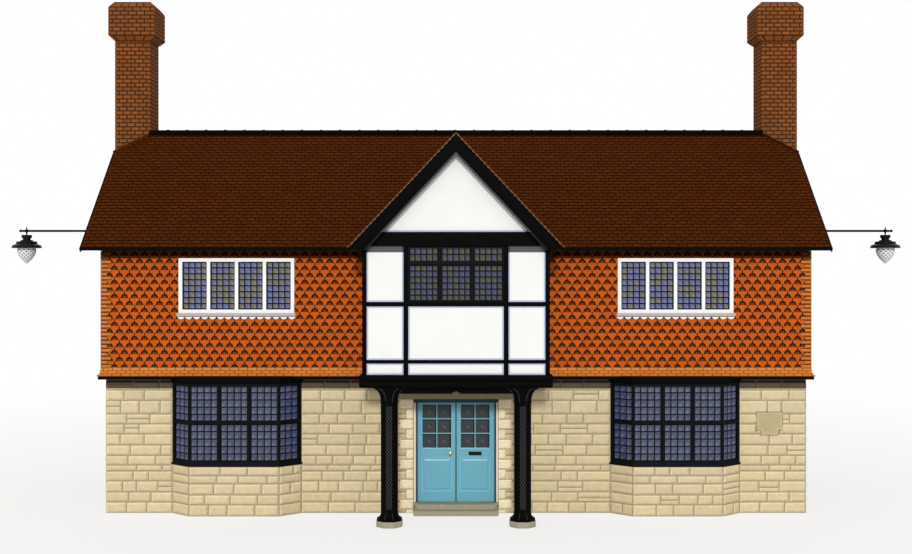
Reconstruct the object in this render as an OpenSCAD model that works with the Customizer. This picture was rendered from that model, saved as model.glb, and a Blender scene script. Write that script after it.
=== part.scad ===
// Half timbered village house: two stone bays under tile-hung upper walls, a gabled timber
// chamber carried over the door on two eight-sided columns, and a brick stack at each gable.
// The front looks towards -Y, +Z is up, and the origin is the middle of the plan at the ground.

/* [House] */
// Width over the stone walls
house_w = 14000; // [13600:50:14600]
// Depth over the stone walls
house_d = 5300; // [5200:50:5800]
// Thickness of the stone walls
stone_t = 380; // [330:10:420]
// Height of the stone walls
stone_h = 2660; // [2660:5:2665]
// Height of the ground floor above the ground
floor_rise = 200; // [160:5:220]
// Thickness of the upper floor
floor_t = 200; // [190:5:205]
// How far the tile-hung walls stand out past the stone
hung_proj = 60; // [50:5:64]
// Thickness of the tile-hung walls
hung_t = 300; // [280:5:310]

/* [Roof] */
// Height of the tile bed at the eaves
eave_z = 5290; // [5270:5:5310]
// Reach of the eaves past the stone walls
eave_overhang = 330; // [300:5:360]
// Pitch of the main roof in degrees
roof_pitch = 40.5; // [39:0.5:42]
// Thickness of the roof, measured straight down
roof_t = 110; // [90:5:130]
// Reach of the roof past the stone gable walls
verge_overhang = 400; // [380:5:430]
// Length of each half hip along the ridge
hip_run = 630; // [600:5:635]
// Fall of each half hip from the ridge to its foot
hip_drop = 450; // [420:5:480]
// Thickness of the black boards along the eaves and verges
edge_board_t = 30; // [25:1:40]

/* [Tile skirt] */
// Top of the flared tile skirt between the storeys
skirt_top = 2900; // [2890:5:2920]
// Reach of the skirt past the stone walls
skirt_proj = 140; // [130:5:160]
// Underside of the black board below the skirt
skirt_base = 2677; // [2670:1:2685]
// Height of the black board below the skirt
skirt_board_h = 56; // [50:1:60]

/* [Chamber over the porch] */
// Width over the corner posts
chamber_w = 3550; // [3500:10:3600]
// Reach of the timber face past the stone wall
chamber_proj = 1400; // [1380:10:1450]
// Depth of the wall timbers from face to back
timber_d = 120; // [100:5:130]
// Width of the corner posts as seen from the front
corner_post_w = 85; // [80:1:95]
// Width of the posts beside the window
inner_post_w = 91; // [85:1:95]
// Middle of the posts beside the window
inner_post_x = 948; // [930:1:960]
// Thickness of the plaster panels
panel_t = 80; // [60:5:90]
// How far the panels lie behind the timber face
panel_recess = 15; // [10:1:20]
// Width of the chamber roof at its eaves
gable_span = 4000; // [3950:10:4050]
// Pitch of the chamber roof in degrees
gable_pitch = 46.7; // [46:0.1:47.5]
// Reach of the bargeboards past the timber face
gable_overhang = 150; // [140:5:180]
// Depth of the bargeboards, measured straight down
barge_d = 324; // [300:2:330]
// Depth of the grey moulding along their lower edge
barge_moulding_d = 56; // [50:2:60]

/* [Porch columns] */
// Middle of each column from the middle of the house
column_x = 1265; // [1250:5:1280]
// Middle of each column in front of the stone wall
column_out = 1255; // [1250:5:1265]
// Width of the eight-sided shaft over its flats
shaft_w = 315; // [300:5:330]
// Width of the stone pad over its flats
pad_w = 494; // [480:2:510]
// Height of the stone pad
pad_h = 115; // [100:5:130]
// Reach of the capital along the beam, from the column's middle
capital_reach = 305; // [290:5:320]

/* [Bay windows] */
// Middle of each bay from the middle of the house
bay_x = 4380; // [4350:5:4400]
// Width of a bay at the wall
bay_w = 2580; // [2550:5:2600]
// Width of a bay's front
bay_front_w = 1780; // [1760:5:1800]
// Reach of a bay past the wall
bay_proj = 350; // [340:5:370]
// Top of the stone base
bay_sill = 980; // [960:5:1000]
// Underside of the black head
bay_head = 2608; // [2600:1:2612]
// Width of the mullions
mullion_w = 47; // [44:1:52]
// Depth of the frame from front to back
bay_frame_d = 70; // [60:5:80]

/* [Casement windows] */
// Width of each four-light window
window_w = 2310; // [2280:5:2340]
// Height of each four-light window
window_h = 1100; // [1080:5:1110]
// Underside of the front windows upstairs
window_z = 3996; // [3990:1:4000]
// Underside of the back windows downstairs
back_window_z = 1150; // [1100:10:1250]
// Width of a window frame's outer members
frame_w = 73; // [70:1:76]
// Depth of a window frame
frame_d = 120; // [100:5:130]
// Count of scallops on the apron below a front window
scallop_count = 15; // [13:1:17]

/* [Front door] */
// Clear width between the door jambs
door_clear_w = 1562; // [1560:1:1566]
// Width of the doorway in the stone
doorway_w = 1700; // [1690:5:1710]
// Underside of the stone lintel
doorway_h = 2280; // [2275:1:2285]
// Thickness of each leaf
leaf_t = 50; // [45:1:55]
// Gap round each leaf
leaf_gap = 5; // [5:0.5:6]
// Distance of the leaves' outer faces behind the stone face
door_inset = 120; // [115:1:130]

/* [Chimneys] */
// Width of a stack across the house
stack_w = 770; // [760:5:780]
// Depth of a stack from front to back
stack_d = 780; // [760:5:800]
// Height at which the head begins to spread
head_z = 9900; // [9800:10:10000]
// Top of the chimney head
chimney_top = 10765; // [10700:5:10800]
// Spread of the head past the stack
head_spread = 118; // [100:2:125]
// Width of the square flue
flue_w = 300; // [260:10:320]

/* [Lamps] */
// Middle of each lamp from the middle of the house
lamp_x = 8756; // [8700:5:8800]
// Distance of the lamp arms behind the stone front
lamp_back = 500; // [480:10:560]
// Height of the lamp arms
lamp_z = 5653; // [5640:1:5660]

/* [Hidden] */

$fn = 48;
half_w = house_w / 2;
half_d = house_d / 2;
stone_in_x = half_w - stone_t;
stone_in_y = half_d - stone_t;
upper_z = stone_h + floor_t;
hung_x = half_w + hung_proj;
hung_y = half_d + hung_proj;

eave_y = half_d + eave_overhang;
verge_x = half_w + verge_overhang;
ridge_z = eave_z + tan(roof_pitch) * eave_y;
ridge_half = verge_x - hip_run;
hip_foot_y = hip_drop / tan(roof_pitch);
soffit_z = eave_z - 45;
ridge_cap_r = 112;
gable_cap_r = 70;

chamber_y = -half_d - chamber_proj;
chamber_x = chamber_w / 2;
gable_half = gable_span / 2;
gable_ridge_z = eave_z + tan(gable_pitch) * gable_half;
gable_y = chamber_y - gable_overhang;
barge_t = 40;
valley_y = -(ridge_z - gable_ridge_z) / tan(roof_pitch);

beam_z = 2640;
beam_top = 2884;
beam_w = 250;
side_beam_w = 175;
low_rail = [3099, 3167];
mid_rail = [4178, 4263];
tie_z = [5320, 5586];
arch_z = 2516;

stack_out = half_w + hung_proj - hung_t + stack_w;
stack_in = stack_out - stack_w;

far = 12000;

function main_z(y) = ridge_z - tan(roof_pitch) * abs(y);
function hip_z(x) = ridge_z - (abs(x) - ridge_half) * hip_drop / hip_run;
function gable_z(x) = gable_ridge_z - tan(gable_pitch) * abs(x);
function mirrored(points) = [for (i = [len(points) - 1:-1:0]) [-points[i][0], points[i][1]]];
function bay_a() = atan(bay_proj / ((bay_w - bay_front_w) / 2));
function bay_plan(t) =
    let (wall = bay_w / 2 - t / sin(bay_a()), front = bay_front_w / 2 - t * tan(bay_a() / 2))
    [[-wall, 0], [-front, t - bay_proj], [front, t - bay_proj], [wall, 0]];

// A profile drawn in Y and Z, drawn out along X
module along_x(x0, x1) {
    translate([x0, 0, 0]) rotate([90, 0, 90]) linear_extrude(x1 - x0) children();
}

// A profile drawn in X and Z, drawn out along Y
module along_y(y0, y1) {
    translate([0, y1, 0]) rotate([90, 0, 0]) linear_extrude(y1 - y0) children();
}

module block(lo, hi) {
    translate(lo) cube(hi - lo);
}

module both_sides() {
    children();
    mirror([1, 0, 0]) children();
}

// Everything under the main roof's planes once they are lowered by drop
module roof_body(drop) {
    reach_x = verge_x + drop;
    reach_y = eave_y + drop;
    intersection() {
        along_x(-reach_x, reach_x)
            polygon([[-reach_y, 0], [-reach_y, main_z(reach_y) - drop], [0, ridge_z - drop],
                     [reach_y, main_z(reach_y) - drop], [reach_y, 0]]);
        along_y(-reach_y, reach_y)
            polygon([[-reach_x, 0], [-reach_x, hip_z(reach_x) - drop], [-ridge_half, ridge_z - drop],
                     [ridge_half, ridge_z - drop], [reach_x, hip_z(reach_x) - drop], [reach_x, 0]]);
    }
}

// Everything under the chamber roof's planes once they are lowered by drop
module gable_body(drop) {
    reach = gable_half + drop;
    along_y(gable_y + barge_t - drop, round(valley_y / 2))
        polygon([[-reach, 0], [-reach, gable_z(reach) - drop], [0, gable_ridge_z - drop],
                 [reach, gable_z(reach) - drop], [reach, 0]]);
}

// The space below the roof, which the tops of the walls fill
module under_roof() {
    roof_body(roof_t);
    gable_body(roof_t);
}

module roof_shell() {
    difference() {
        union() {
            roof_body(0);
            gable_body(0);
        }
        under_roof();
        block([-far, -far, -1], [far, far, soffit_z]);
    }
}

module roof_part(plan) {
    intersection() {
        roof_shell();
        linear_extrude(far) polygon(plan);
    }
}

module stack_shaft(top) {
    both_sides() block([stack_in, 0, 0], [stack_out, stack_d, top]);
}

// A four-light window's place on the front or the back, facing out along -Y
module window_places() {
    front_places() children();
    back_places() children();
}

module front_places() {
    for (x = [-bay_x, bay_x]) translate([x, -hung_y - 20, window_z]) children();
}

module back_places() {
    for (x = [-bay_x, bay_x]) {
        translate([x, hung_y + 20, window_z]) rotate([0, 0, 180]) children();
        translate([x, half_d - 30, back_window_z]) rotate([0, 0, 180]) children();
    }
}

module window_hole() {
    block([-window_w / 2, -far / 20, 0], [window_w / 2, far / 20, window_h]);
}

light_count = 4;
light_bar_w = 68;
light_w = (window_w - 2 * frame_w - (light_count - 1) * light_bar_w) / light_count;

module lights(y0, y1) {
    for (i = [0:light_count - 1]) {
        x = -window_w / 2 + frame_w + i * (light_w + light_bar_w);
        block([x, y0, frame_w], [x + light_w, y1, window_h - frame_w]);
    }
}

module casement_frame() {
    difference() {
        block([-window_w / 2, 0, 0], [window_w / 2, frame_d, window_h]);
        lights(-1, frame_d + 1);
    }
}

module stone_wall_front(side) {
    color("tan") mirror([side < 0 ? 1 : 0, 0, 0]) difference() {
        block([doorway_w / 2, -half_d, 0], [half_w, -stone_in_y, stone_h]);
        block([bay_x - bay_w / 2 + 130, -half_d - 1, bay_sill],
              [bay_x + bay_w / 2 - 130, -stone_in_y + 1, bay_head]);
        lintel_stone();
    }
}

module stone_wall_front_left() stone_wall_front(-1);
module stone_wall_front_right() stone_wall_front(1);

lintel_half = 1180;
lintel_top = doorway_h + 250;
lintel_proud = 30;

module lintel_stone() {
    block([-lintel_half, -half_d - lintel_proud, doorway_h], [lintel_half, -stone_in_y, lintel_top]);
}

module stone_wall_over_door() {
    color("tan") block([-doorway_w / 2, -half_d, lintel_top], [doorway_w / 2, -stone_in_y, stone_h]);
}

module stone_walls_side() {
    color("tan") difference() {
        both_sides() block([stone_in_x, -stone_in_y, 0], [half_w, stone_in_y, stone_h]);
        stack_shaft(stone_h + 1);
    }
}

module stone_wall_back() {
    color("tan") difference() {
        block([-half_w, stone_in_y, 0], [half_w, half_d, stone_h]);
        back_places() window_hole();
    }
}

module ground_floor() {
    color("gray") block([-stone_in_x, -stone_in_y, 0], [stone_in_x, stone_in_y, floor_rise]);
}

module upper_floor() {
    color("burlywood") difference() {
        block([-half_w, -half_d, stone_h], [half_w, half_d, upper_z]);
        stack_shaft(upper_z + 1);
    }
}

// Tile-hung walls of the upper storey, with their tops cut to the roof
module hung_wall(lo, hi) {
    color("chocolate") difference() {
        intersection() {
            block([lo[0], lo[1], upper_z], [hi[0], hi[1], ridge_z]);
            under_roof();
        }
        window_places() window_hole();
        stack_shaft(ridge_z + 1);
    }
}

module hung_wall_front(side) {
    mirror([side < 0 ? 1 : 0, 0, 0])
        hung_wall([chamber_x - timber_d, -hung_y], [hung_x, -hung_y + hung_t]);
}

module hung_walls_side() {
    both_sides() hung_wall([hung_x - hung_t, -hung_y + hung_t], [hung_x, hung_y - hung_t]);
}

module hung_wall_front_left() hung_wall_front(-1);
module hung_wall_front_right() hung_wall_front(1);
module hung_wall_back() hung_wall([-hung_x, hung_y - hung_t], [hung_x, hung_y]);

// A band that runs round the house. Its profile is a list of [distance out, height].
module band(profile) {
    y_profile = [for (p = profile) [-half_d - p[0], p[1]]];
    x_profile = [for (p = profile) [-half_w - p[0], p[1]]];
    difference() {
        intersection() {
            along_x(-far, far) polygon(concat(y_profile, mirrored(y_profile)));
            along_y(-far, far) polygon(concat(x_profile, mirrored(x_profile)));
        }
        block([-half_w, -half_d, 0], [half_w, half_d, far]);
        block([-hung_x, -hung_y, upper_z], [hung_x, hung_y, far]);
        block([-chamber_x, -far, 0], [chamber_x, 0, far]);
        stack_shaft(far / 2);
    }
}

skirt_flare_z = skirt_base + skirt_board_h;

module tile_skirt() {
    lip = hung_proj + 12;
    color("peru") band(concat(
        [[0, skirt_flare_z]],
        [for (a = [0:15:90]) [lip + (skirt_proj - lip) * (1 - sin(a)),
                              skirt_top - (skirt_top - skirt_flare_z) * cos(a)]],
        [[0, skirt_top]]));
}

module skirt_board() {
    color("black") band([[0, skirt_base], [skirt_proj - 22, skirt_base],
                         [skirt_proj - 10, skirt_base + 12], [skirt_proj - 10, skirt_flare_z],
                         [0, skirt_flare_z]]);
}

module bay_places() {
    for (x = [-bay_x, bay_x]) translate([x, -half_d, 0]) children();
}

module bay_bases() {
    color("tan") bay_places() linear_extrude(bay_sill) polygon(bay_plan(0));
}

transom_z = [1817, 1866];
bay_rail_top = bay_sill + 100;
bay_rail_head = bay_head - 28;
bay_bar_x = bay_front_w / 6;
cant_len = sqrt(pow((bay_w - bay_front_w) / 2, 2) + pow(bay_proj, 2));

// The openings of one bay: three lights in front and one on each cant, above and below a transom
module bay_lights() {
    for (z = [[bay_rail_top, transom_z[0]], [transom_z[1], bay_rail_head]]) {
        for (x = [-2, 0, 2] * bay_bar_x)
            block([x - bay_bar_x + mullion_w / 2, -bay_proj - 1, z[0]],
                  [x + bay_bar_x - mullion_w / 2, bay_frame_d - bay_proj + 1, z[1]]);
        both_sides() translate([-bay_w / 2, 0, 0]) rotate([0, 0, -bay_a()])
            block([60, -far / 100, z[0]], [cant_len - mullion_w / 2 - 6, bay_frame_d * 1.2, z[1]]);
    }
}

module bay_frames() {
    color("dimgray") bay_places() difference() {
        union() {
            translate([0, 0, bay_sill]) linear_extrude(bay_head - bay_sill) polygon(bay_plan(0));
            translate([0, 0, bay_sill]) linear_extrude(40) polygon(bay_plan(-20));
        }
        translate([0, 0, bay_sill - 1]) linear_extrude(bay_head - bay_sill + 2)
            polygon(bay_inner(bay_frame_d));
        bay_lights();
    }
}

// The inner plan of a bay, drawn out a little past the wall line
function bay_inner(t) = let (p = bay_plan(t)) concat([[p[0][0], 1]], p, [[p[3][0], 1]]);

module bay_glass() {
    color("slategray", 0.5) bay_places() intersection() {
        difference() {
            linear_extrude(far / 4) polygon(bay_plan(31));
            linear_extrude(far / 4) polygon(bay_plan(39));
        }
        bay_lights();
    }
}

module bay_heads() {
    color("black") difference() {
        bay_places() union() {
            translate([0, 0, bay_head]) linear_extrude(40) polygon(bay_plan(-10));
            translate([0, 0, bay_head + 40]) linear_extrude(88) polygon(bay_plan(-25));
        }
        tile_skirt();
        skirt_board();
    }
}

quoin_h = 200;
quoin_courses = 12;
quoin_proud = 25;

module door_quoins() {
    color("wheat") both_sides() along_y(-half_d - quoin_proud, -half_d)
        for (i = [0:quoin_courses - 1]) {
            top = doorway_h - i * quoin_h;
            bottom = max(0, top - quoin_h);
            translate([doorway_w / 2, bottom]) square([i % 2 == 0 ? 256 : 132, top - bottom]);
        }
}

module door_lintel() {
    color("tan") lintel_stone();
}

door_head_h = 75;
jamb_face_y = -half_d + door_inset - 30;
leaf_y = [-half_d + door_inset, -half_d + door_inset + leaf_t];
leaf_z = [floor_rise + leaf_gap, doorway_h - door_head_h - leaf_gap];
meeting_gap = 8;
leaf_x = [meeting_gap / 2, door_clear_w / 2 - leaf_gap];
stop_w = 12;

// The opening of the door frame, less the stops that the leaves close against
module door_opening(y0, y1, stop) {
    block([-door_clear_w / 2 + stop, y0, floor_rise - 1],
          [door_clear_w / 2 - stop, y1, doorway_h - door_head_h - stop]);
}

module door_frame() {
    color("ivory") difference() {
        block([-doorway_w / 2, jamb_face_y, floor_rise], [doorway_w / 2, leaf_y[1] + 40, doorway_h]);
        door_opening(leaf_y[0] - leaf_gap, leaf_y[1] + 41, 0);
        door_opening(jamb_face_y - 1, leaf_y[0], stop_w);
    }
}

step_run = 170;

module door_steps() {
    color("darkkhaki") union() {
        block([-840, -half_d - 2 * step_run, 0], [840, -half_d, floor_rise / 2]);
        block([-778, -half_d - step_run, 0], [778, -half_d, floor_rise]);
        block([-doorway_w / 2, -half_d, 0], [doorway_w / 2, -stone_in_y, floor_rise]);
    }
}

neck_z = 2335;
base_flare_z = 270;
base_half = 235;
base_plain = 40;
capital_depth = 195;
abacus_h = 24;

// Half the width of a column at its moulded foot, necking and capital, which spreads to reach
function column_edge(reach) =
    let (shaft = shaft_w / 2, foot = pad_h + base_plain, flare = neck_z + 48,
         abacus = beam_z - abacus_h)
    concat(
        [[base_half, pad_h]],
        [for (a = [0:15:90]) [base_half - (base_half - shaft) * sin(a),
                              foot + (base_flare_z - foot) * (1 - cos(a))]],
        [[shaft, neck_z], [shaft + 12, neck_z + 8], [shaft + 12, neck_z + 32]],
        [for (a = [0:10:80]) [shaft + 4 + (reach - 6 - shaft) * (1 - cos(a)),
                              flare + (abacus - flare) * sin(a)]],
        [[reach, abacus], [reach, beam_z]]);

// The eight corners at one height, from half widths a along X, b along Y and d on the diagonal
function eight_corners(a, b, d, z) =
    let (x = d * sqrt(2) - b, y = d * sqrt(2) - a)
    [[a, -y, z], [a, y, z], [x, b, z], [-x, b, z], [-a, y, z], [-a, -y, z], [-x, -b, z], [x, -b, z]];

// An eight-sided upright whose faces follow three profiles: to the sides, to the front and diagonally
module eight_sided(side, front, diagonal) {
    rings = len(side);
    polyhedron(
        [for (i = [0:rings - 1])
            each eight_corners(side[i][0], front[i][0], diagonal[i][0], side[i][1])],
        concat(
            [[for (k = [0:7]) k], [for (k = [7:-1:0]) 8 * (rings - 1) + k]],
            [for (i = [0:rings - 2], k = [0:7])
                [8 * i + k, 8 * (i + 1) + k, 8 * (i + 1) + (k + 1) % 8, 8 * i + (k + 1) % 8]]));
}

module column_places() {
    both_sides() translate([column_x, -half_d - column_out, 0]) children();
}

module porch_columns() {
    color("black") column_places() eight_sided(column_edge(capital_reach),
        column_edge(capital_depth), column_edge((capital_reach + capital_depth) * 0.52));
}

module column_pads() {
    color("darkkhaki") column_places() rotate([0, 0, 22.5])
        cylinder(h = pad_h, d = pad_w / cos(22.5), $fn = 8);
}

// The moulding of the front beam: a quarter round below, then two flats parted by a groove
beam_out = 55;
beam_edge = concat(
    [for (a = [0:15:90]) [beam_out - 45 + 45 * sin(a), beam_z + 45 * (1 - cos(a))]],
    [[beam_out, beam_z + 110], [beam_out - 14, beam_z + 120], [beam_out - 14, beam_z + 132],
     [beam_out, beam_z + 142], [beam_out, beam_top - 12], [beam_out - 25, beam_top]]);

module bressummer() {
    back_y = chamber_y + beam_w;
    x_edge = [for (p = beam_edge) [-chamber_x - p[0], p[1]]];
    y_edge = [for (p = beam_edge) [chamber_y - p[0], p[1]]];
    color("black") intersection() {
        along_y(chamber_y - 2 * beam_out, back_y) polygon(concat(x_edge, mirrored(x_edge)));
        along_x(-gable_half, gable_half)
            polygon(concat(y_edge, [[back_y, beam_top], [back_y, beam_z]]));
    }
}

module porch_side_beams() {
    color("black") difference() {
        both_sides() block([chamber_x - side_beam_w, chamber_y + beam_w, beam_z],
                           [chamber_x, -half_d, beam_top]);
        block([-chamber_x - 1, -hung_y, upper_z], [chamber_x + 1, -half_d + 1, far]);
    }
}

notch_half = 85;
notch_h = 56;
arch_t = 60;

// The board between the capitals, whose ends follow their curve, with an ogee cut up into the
// middle of its lower edge
module arch_board() {
    mid_y = -half_d - column_out;
    end = [for (p = column_edge(capital_reach)) if (p[1] > neck_z + 32) [p[0] - column_x, p[1]]];
    rise = [for (i = [0:9]) [notch_half * (i / 10 - 1),
                             arch_z + notch_h * (i / 10 + 0.14 * sin(36 * i))]];
    color("black") along_y(mid_y - arch_t / 2, mid_y + arch_t / 2) difference() {
        polygon(concat(end, mirrored(end)));
        polygon(concat([[-column_x, 0], [-column_x, arch_z]], rise, [[0, arch_z + notch_h]],
                       mirrored(rise), [[column_x, arch_z], [column_x, 0]]));
    }
}

module chamber_floor() {
    color("burlywood") block([-chamber_x + side_beam_w, chamber_y + beam_w, stone_h],
                             [chamber_x - side_beam_w, -half_d, upper_z]);
}

post_edges = [inner_post_x - inner_post_w / 2, inner_post_x + inner_post_w / 2,
              chamber_x - corner_post_w, chamber_x];

module front_timber(x0, x1, z0, z1) {
    block([x0, chamber_y, z0], [x1, chamber_y + timber_d, z1]);
}

module chamber_front_frame() {
    color("black") union() {
        both_sides() {
            front_timber(post_edges[0], post_edges[1], beam_top, tie_z[0]);
            front_timber(post_edges[2], post_edges[3], beam_top, tie_z[0]);
        }
        for (rail = [low_rail, mid_rail])
            front_timber(-post_edges[2], post_edges[2], rail[0], rail[1]);
    }
}

side_post_y = [chamber_y + timber_d, -3375, -3285, -hung_y - 90, -hung_y];

module side_timber(y0, y1, z0, z1) {
    block([chamber_x - timber_d, y0, z0], [chamber_x, y1, z1]);
}

module chamber_side_frames() {
    color("black") both_sides() intersection() {
        union() {
            side_timber(side_post_y[1], side_post_y[2], beam_top, tie_z[0]);
            side_timber(side_post_y[3], side_post_y[4], beam_top, tie_z[0]);
            for (rail = [low_rail, mid_rail, [tie_z[0], tie_z[1]]])
                side_timber(side_post_y[0], side_post_y[4], rail[0], rail[1]);
        }
        gable_body(roof_t);
    }
}

panel_bands = [[beam_top, low_rail[0]], [low_rail[1], mid_rail[0]], [mid_rail[1], tie_z[0]]];
panel_y = [chamber_y + panel_recess, chamber_y + panel_recess + panel_t];

module chamber_panels() {
    color("white") {
        both_sides() for (band = panel_bands) {
            block([post_edges[1], panel_y[0], band[0]], [post_edges[2], panel_y[1], band[1]]);
            for (i = [0, 2])
                block([chamber_x - panel_recess - panel_t, side_post_y[i], band[0]],
                      [chamber_x - panel_recess, side_post_y[i + 1], band[1]]);
        }
        for (band = [panel_bands[0], panel_bands[1]])
            block([-post_edges[0], panel_y[0], band[0]], [post_edges[0], panel_y[1], band[1]]);
        intersection() {
            block([-gable_half, panel_y[0], tie_z[1]], [gable_half, panel_y[1], far]);
            gable_body(roof_t);
        }
    }
}

chamber_bar_x = 307;
chamber_transom = [4962, 5019];
chamber_rim = 14;

module chamber_lights(y0, y1) {
    x = [-post_edges[0] + chamber_rim, -chamber_bar_x - 28, -chamber_bar_x + 28,
         chamber_bar_x - 28, chamber_bar_x + 28, post_edges[0] - chamber_rim];
    for (i = [0, 2, 4])
        for (z = [[mid_rail[1] + chamber_rim, chamber_transom[0]],
                  [chamber_transom[1], tie_z[0] - chamber_rim]])
            block([x[i], y0, z[0]], [x[i + 1], y1, z[1]]);
}

module chamber_window_frame() {
    color("black") difference() {
        block([-post_edges[0], chamber_y + 5, mid_rail[1]], [post_edges[0], chamber_y + 75, tie_z[0]]);
        chamber_lights(chamber_y, chamber_y + 80);
    }
}

module chamber_window_glass() {
    color("slategray", 0.5) chamber_lights(chamber_y + 36, chamber_y + 44);
}

module tie_beam() {
    color("black") intersection() {
        block([-gable_half, chamber_y - 30, tie_z[0]], [gable_half, chamber_y + timber_d, tie_z[1]]);
        gable_body(roof_t);
    }
}

// A chevron that follows the chamber roof, from one drop below its top to another
module chevron(y0, y1, upper, lower) {
    foot = [for (drop = [upper, lower]) (gable_ridge_z - drop - soffit_z) / tan(gable_pitch)];
    along_y(y0, y1) intersection() {
        polygon([[-foot[0], soffit_z], [0, gable_ridge_z - upper], [foot[0], soffit_z],
                 [foot[1], soffit_z], [0, gable_ridge_z - lower], [-foot[1], soffit_z]]);
        translate([-gable_half, 0]) square([gable_span, far]);
    }
}

module bargeboards() {
    color("black") chevron(gable_y, gable_y + barge_t, 0, barge_d);
}

module bargeboard_moulding() {
    color("dimgray") chevron(gable_y - 15, gable_y + barge_t, barge_d, barge_d + barge_moulding_d);
}

module gable_roof(side) {
    color("saddlebrown") mirror([side < 0 ? 1 : 0, 0, 0])
        roof_part([[0, -far], [gable_half, -far], [gable_half, -eave_y], [0, valley_y]]);
}

module gable_roof_left() gable_roof(-1);
module gable_roof_right() gable_roof(1);

module roof_front(side) {
    color("saddlebrown") mirror([side < 0 ? 1 : 0, 0, 0])
        roof_part([[gable_half, -eave_y], [far, -eave_y], [far, 0], [0, 0], [0, valley_y]]);
}

module roof_front_left() roof_front(-1);
module roof_front_right() roof_front(1);

module roof_back() {
    color("saddlebrown") difference() {
        roof_part([[-far, 0], [far, 0], [far, far], [-far, far]]);
        stack_shaft(far);
    }
}

module ridge_caps() {
    color("saddlebrown") difference() {
        union() {
            translate([-stack_in, 0, ridge_z - 30]) rotate([0, 90, 0])
                cylinder(h = 2 * stack_in, r = ridge_cap_r);
            translate([0, valley_y - 80, gable_ridge_z - 30]) rotate([90, 0, 0])
                cylinder(h = valley_y - 80 - gable_y - barge_t, r = gable_cap_r);
        }
        roof_body(0);
        gable_body(0);
    }
}

module eaves_board(y, x0, x1) {
    block([x0, min(y, y + sign(y) * edge_board_t), soffit_z],
          [x1, max(y, y + sign(y) * edge_board_t), eave_z + 15]);
}

module eaves_boards() {
    end = verge_x + edge_board_t;
    color("black") {
        eaves_board(-eave_y, gable_half, end);
        eaves_board(-eave_y, -end, -gable_half);
        eaves_board(eave_y, -end, end);
    }
}

// The board under the verge follows the slope, and the foot of the half hip where that shows
module verge_boards() {
    board_d = 190;
    toe_y = (ridge_z - board_d - soffit_z) / tan(roof_pitch);
    foot_z = ridge_z - hip_drop;
    color("black") both_sides() along_x(verge_x, verge_x + edge_board_t) {
        polygon([[-eave_y, soffit_z], [-eave_y, eave_z], [-hip_foot_y, foot_z], [0, foot_z],
                 [0, foot_z - board_d], [-hip_foot_y, foot_z - board_d], [-toe_y, soffit_z]]);
        polygon([[eave_y, soffit_z], [eave_y, eave_z], [stack_d, main_z(stack_d)],
                 [stack_d, main_z(stack_d) - board_d], [toe_y, soffit_z]]);
    }
}

// Half the section of a stack and its head, as [distance out, height]
head_edge = [[0, 0], [0, head_z], [head_spread, head_z + 115], [head_spread, chimney_top - 133],
             [head_spread - 108, chimney_top]];
flue_depth = 1400;

module chimney(side) {
    mid_x = (stack_in + stack_out) / 2;
    mid_y = stack_d / 2;
    x_edge = [for (p = head_edge) [-stack_w / 2 - p[0], p[1]]];
    y_edge = [for (p = head_edge) [-stack_d / 2 - p[0], p[1]]];
    color("sienna") mirror([side < 0 ? 1 : 0, 0, 0]) translate([mid_x, mid_y, 0]) difference() {
        intersection() {
            along_y(-1000, 1000) polygon(concat(x_edge, mirrored(x_edge)));
            along_x(-1000, 1000) polygon(concat(y_edge, mirrored(y_edge)));
        }
        block([-flue_w / 2, -flue_w / 2, chimney_top - flue_depth],
              [flue_w / 2, flue_w / 2, chimney_top + 1]);
    }
}

module chimney_left() chimney(-1);
module chimney_right() chimney(1);

module lamp_places() {
    both_sides() translate([lamp_x, -half_d + lamp_back, lamp_z]) children();
}

hood_z = -347;

// The hood of a lamp, from its finial down to the rim, as [radius, height from the arm]
hood_edge = [[0, 81], [7, 81], [12, 40], [34, 22], [34, -22], [14, -40], [14, -82], [102, -82],
             [102, -143], [77, -150], [77, -184], [122, -188], [122, -206], [190, -226],
             [214, -264], [275, -300], [296, -330], [296, hood_z], [0, hood_z]];

lamp_arm_end = 125;

module lamp_brackets() {
    color("black") lamp_places() union() {
        rotate_extrude() polygon(hood_edge);
        translate([hung_x - lamp_x, 0, 0]) rotate([0, 90, 0]) {
            cylinder(h = lamp_arm_end + lamp_x - hung_x, r = 22);
            cylinder(h = 24, r = 75);
        }
        translate([lamp_arm_end, 0, 0]) sphere(r = 28);
    }
}

globe_r = 190;
globe_h = 326;
globe_t = 8;

// The outline of a lamp's glass bowl, from its rim down to its point
function globe_edge(r, h) =
    [for (i = [0:10]) [i == 0 ? r : r * cos(90 * pow((i - 0.5) / 9.5, 1.25)), -i * h / 10]];

module lamp_globes() {
    inner = globe_edge(globe_r - globe_t, globe_h - globe_t);
    color("lightgray", 0.5) lamp_places() translate([0, 0, hood_z]) rotate_extrude()
        polygon(concat(globe_edge(globe_r, globe_h), [for (i = [10:-1:0]) inner[i]]));
}

module stone_plaque() {
    color("tan") along_y(-half_d - 30, -half_d)
        polygon([[6016, 2008], [6016, 1670], [6101, 1670], [6101, 1572], [6429, 1572],
                 [6429, 1670], [6514, 1670], [6514, 2008]]);
}

module window_frames() {
    color("white") window_places() casement_frame();
}

module window_glass() {
    color("slategray", 0.5) window_places() lights(56, 64);
}

apron_w = 2370;
sill_h = 50;

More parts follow.
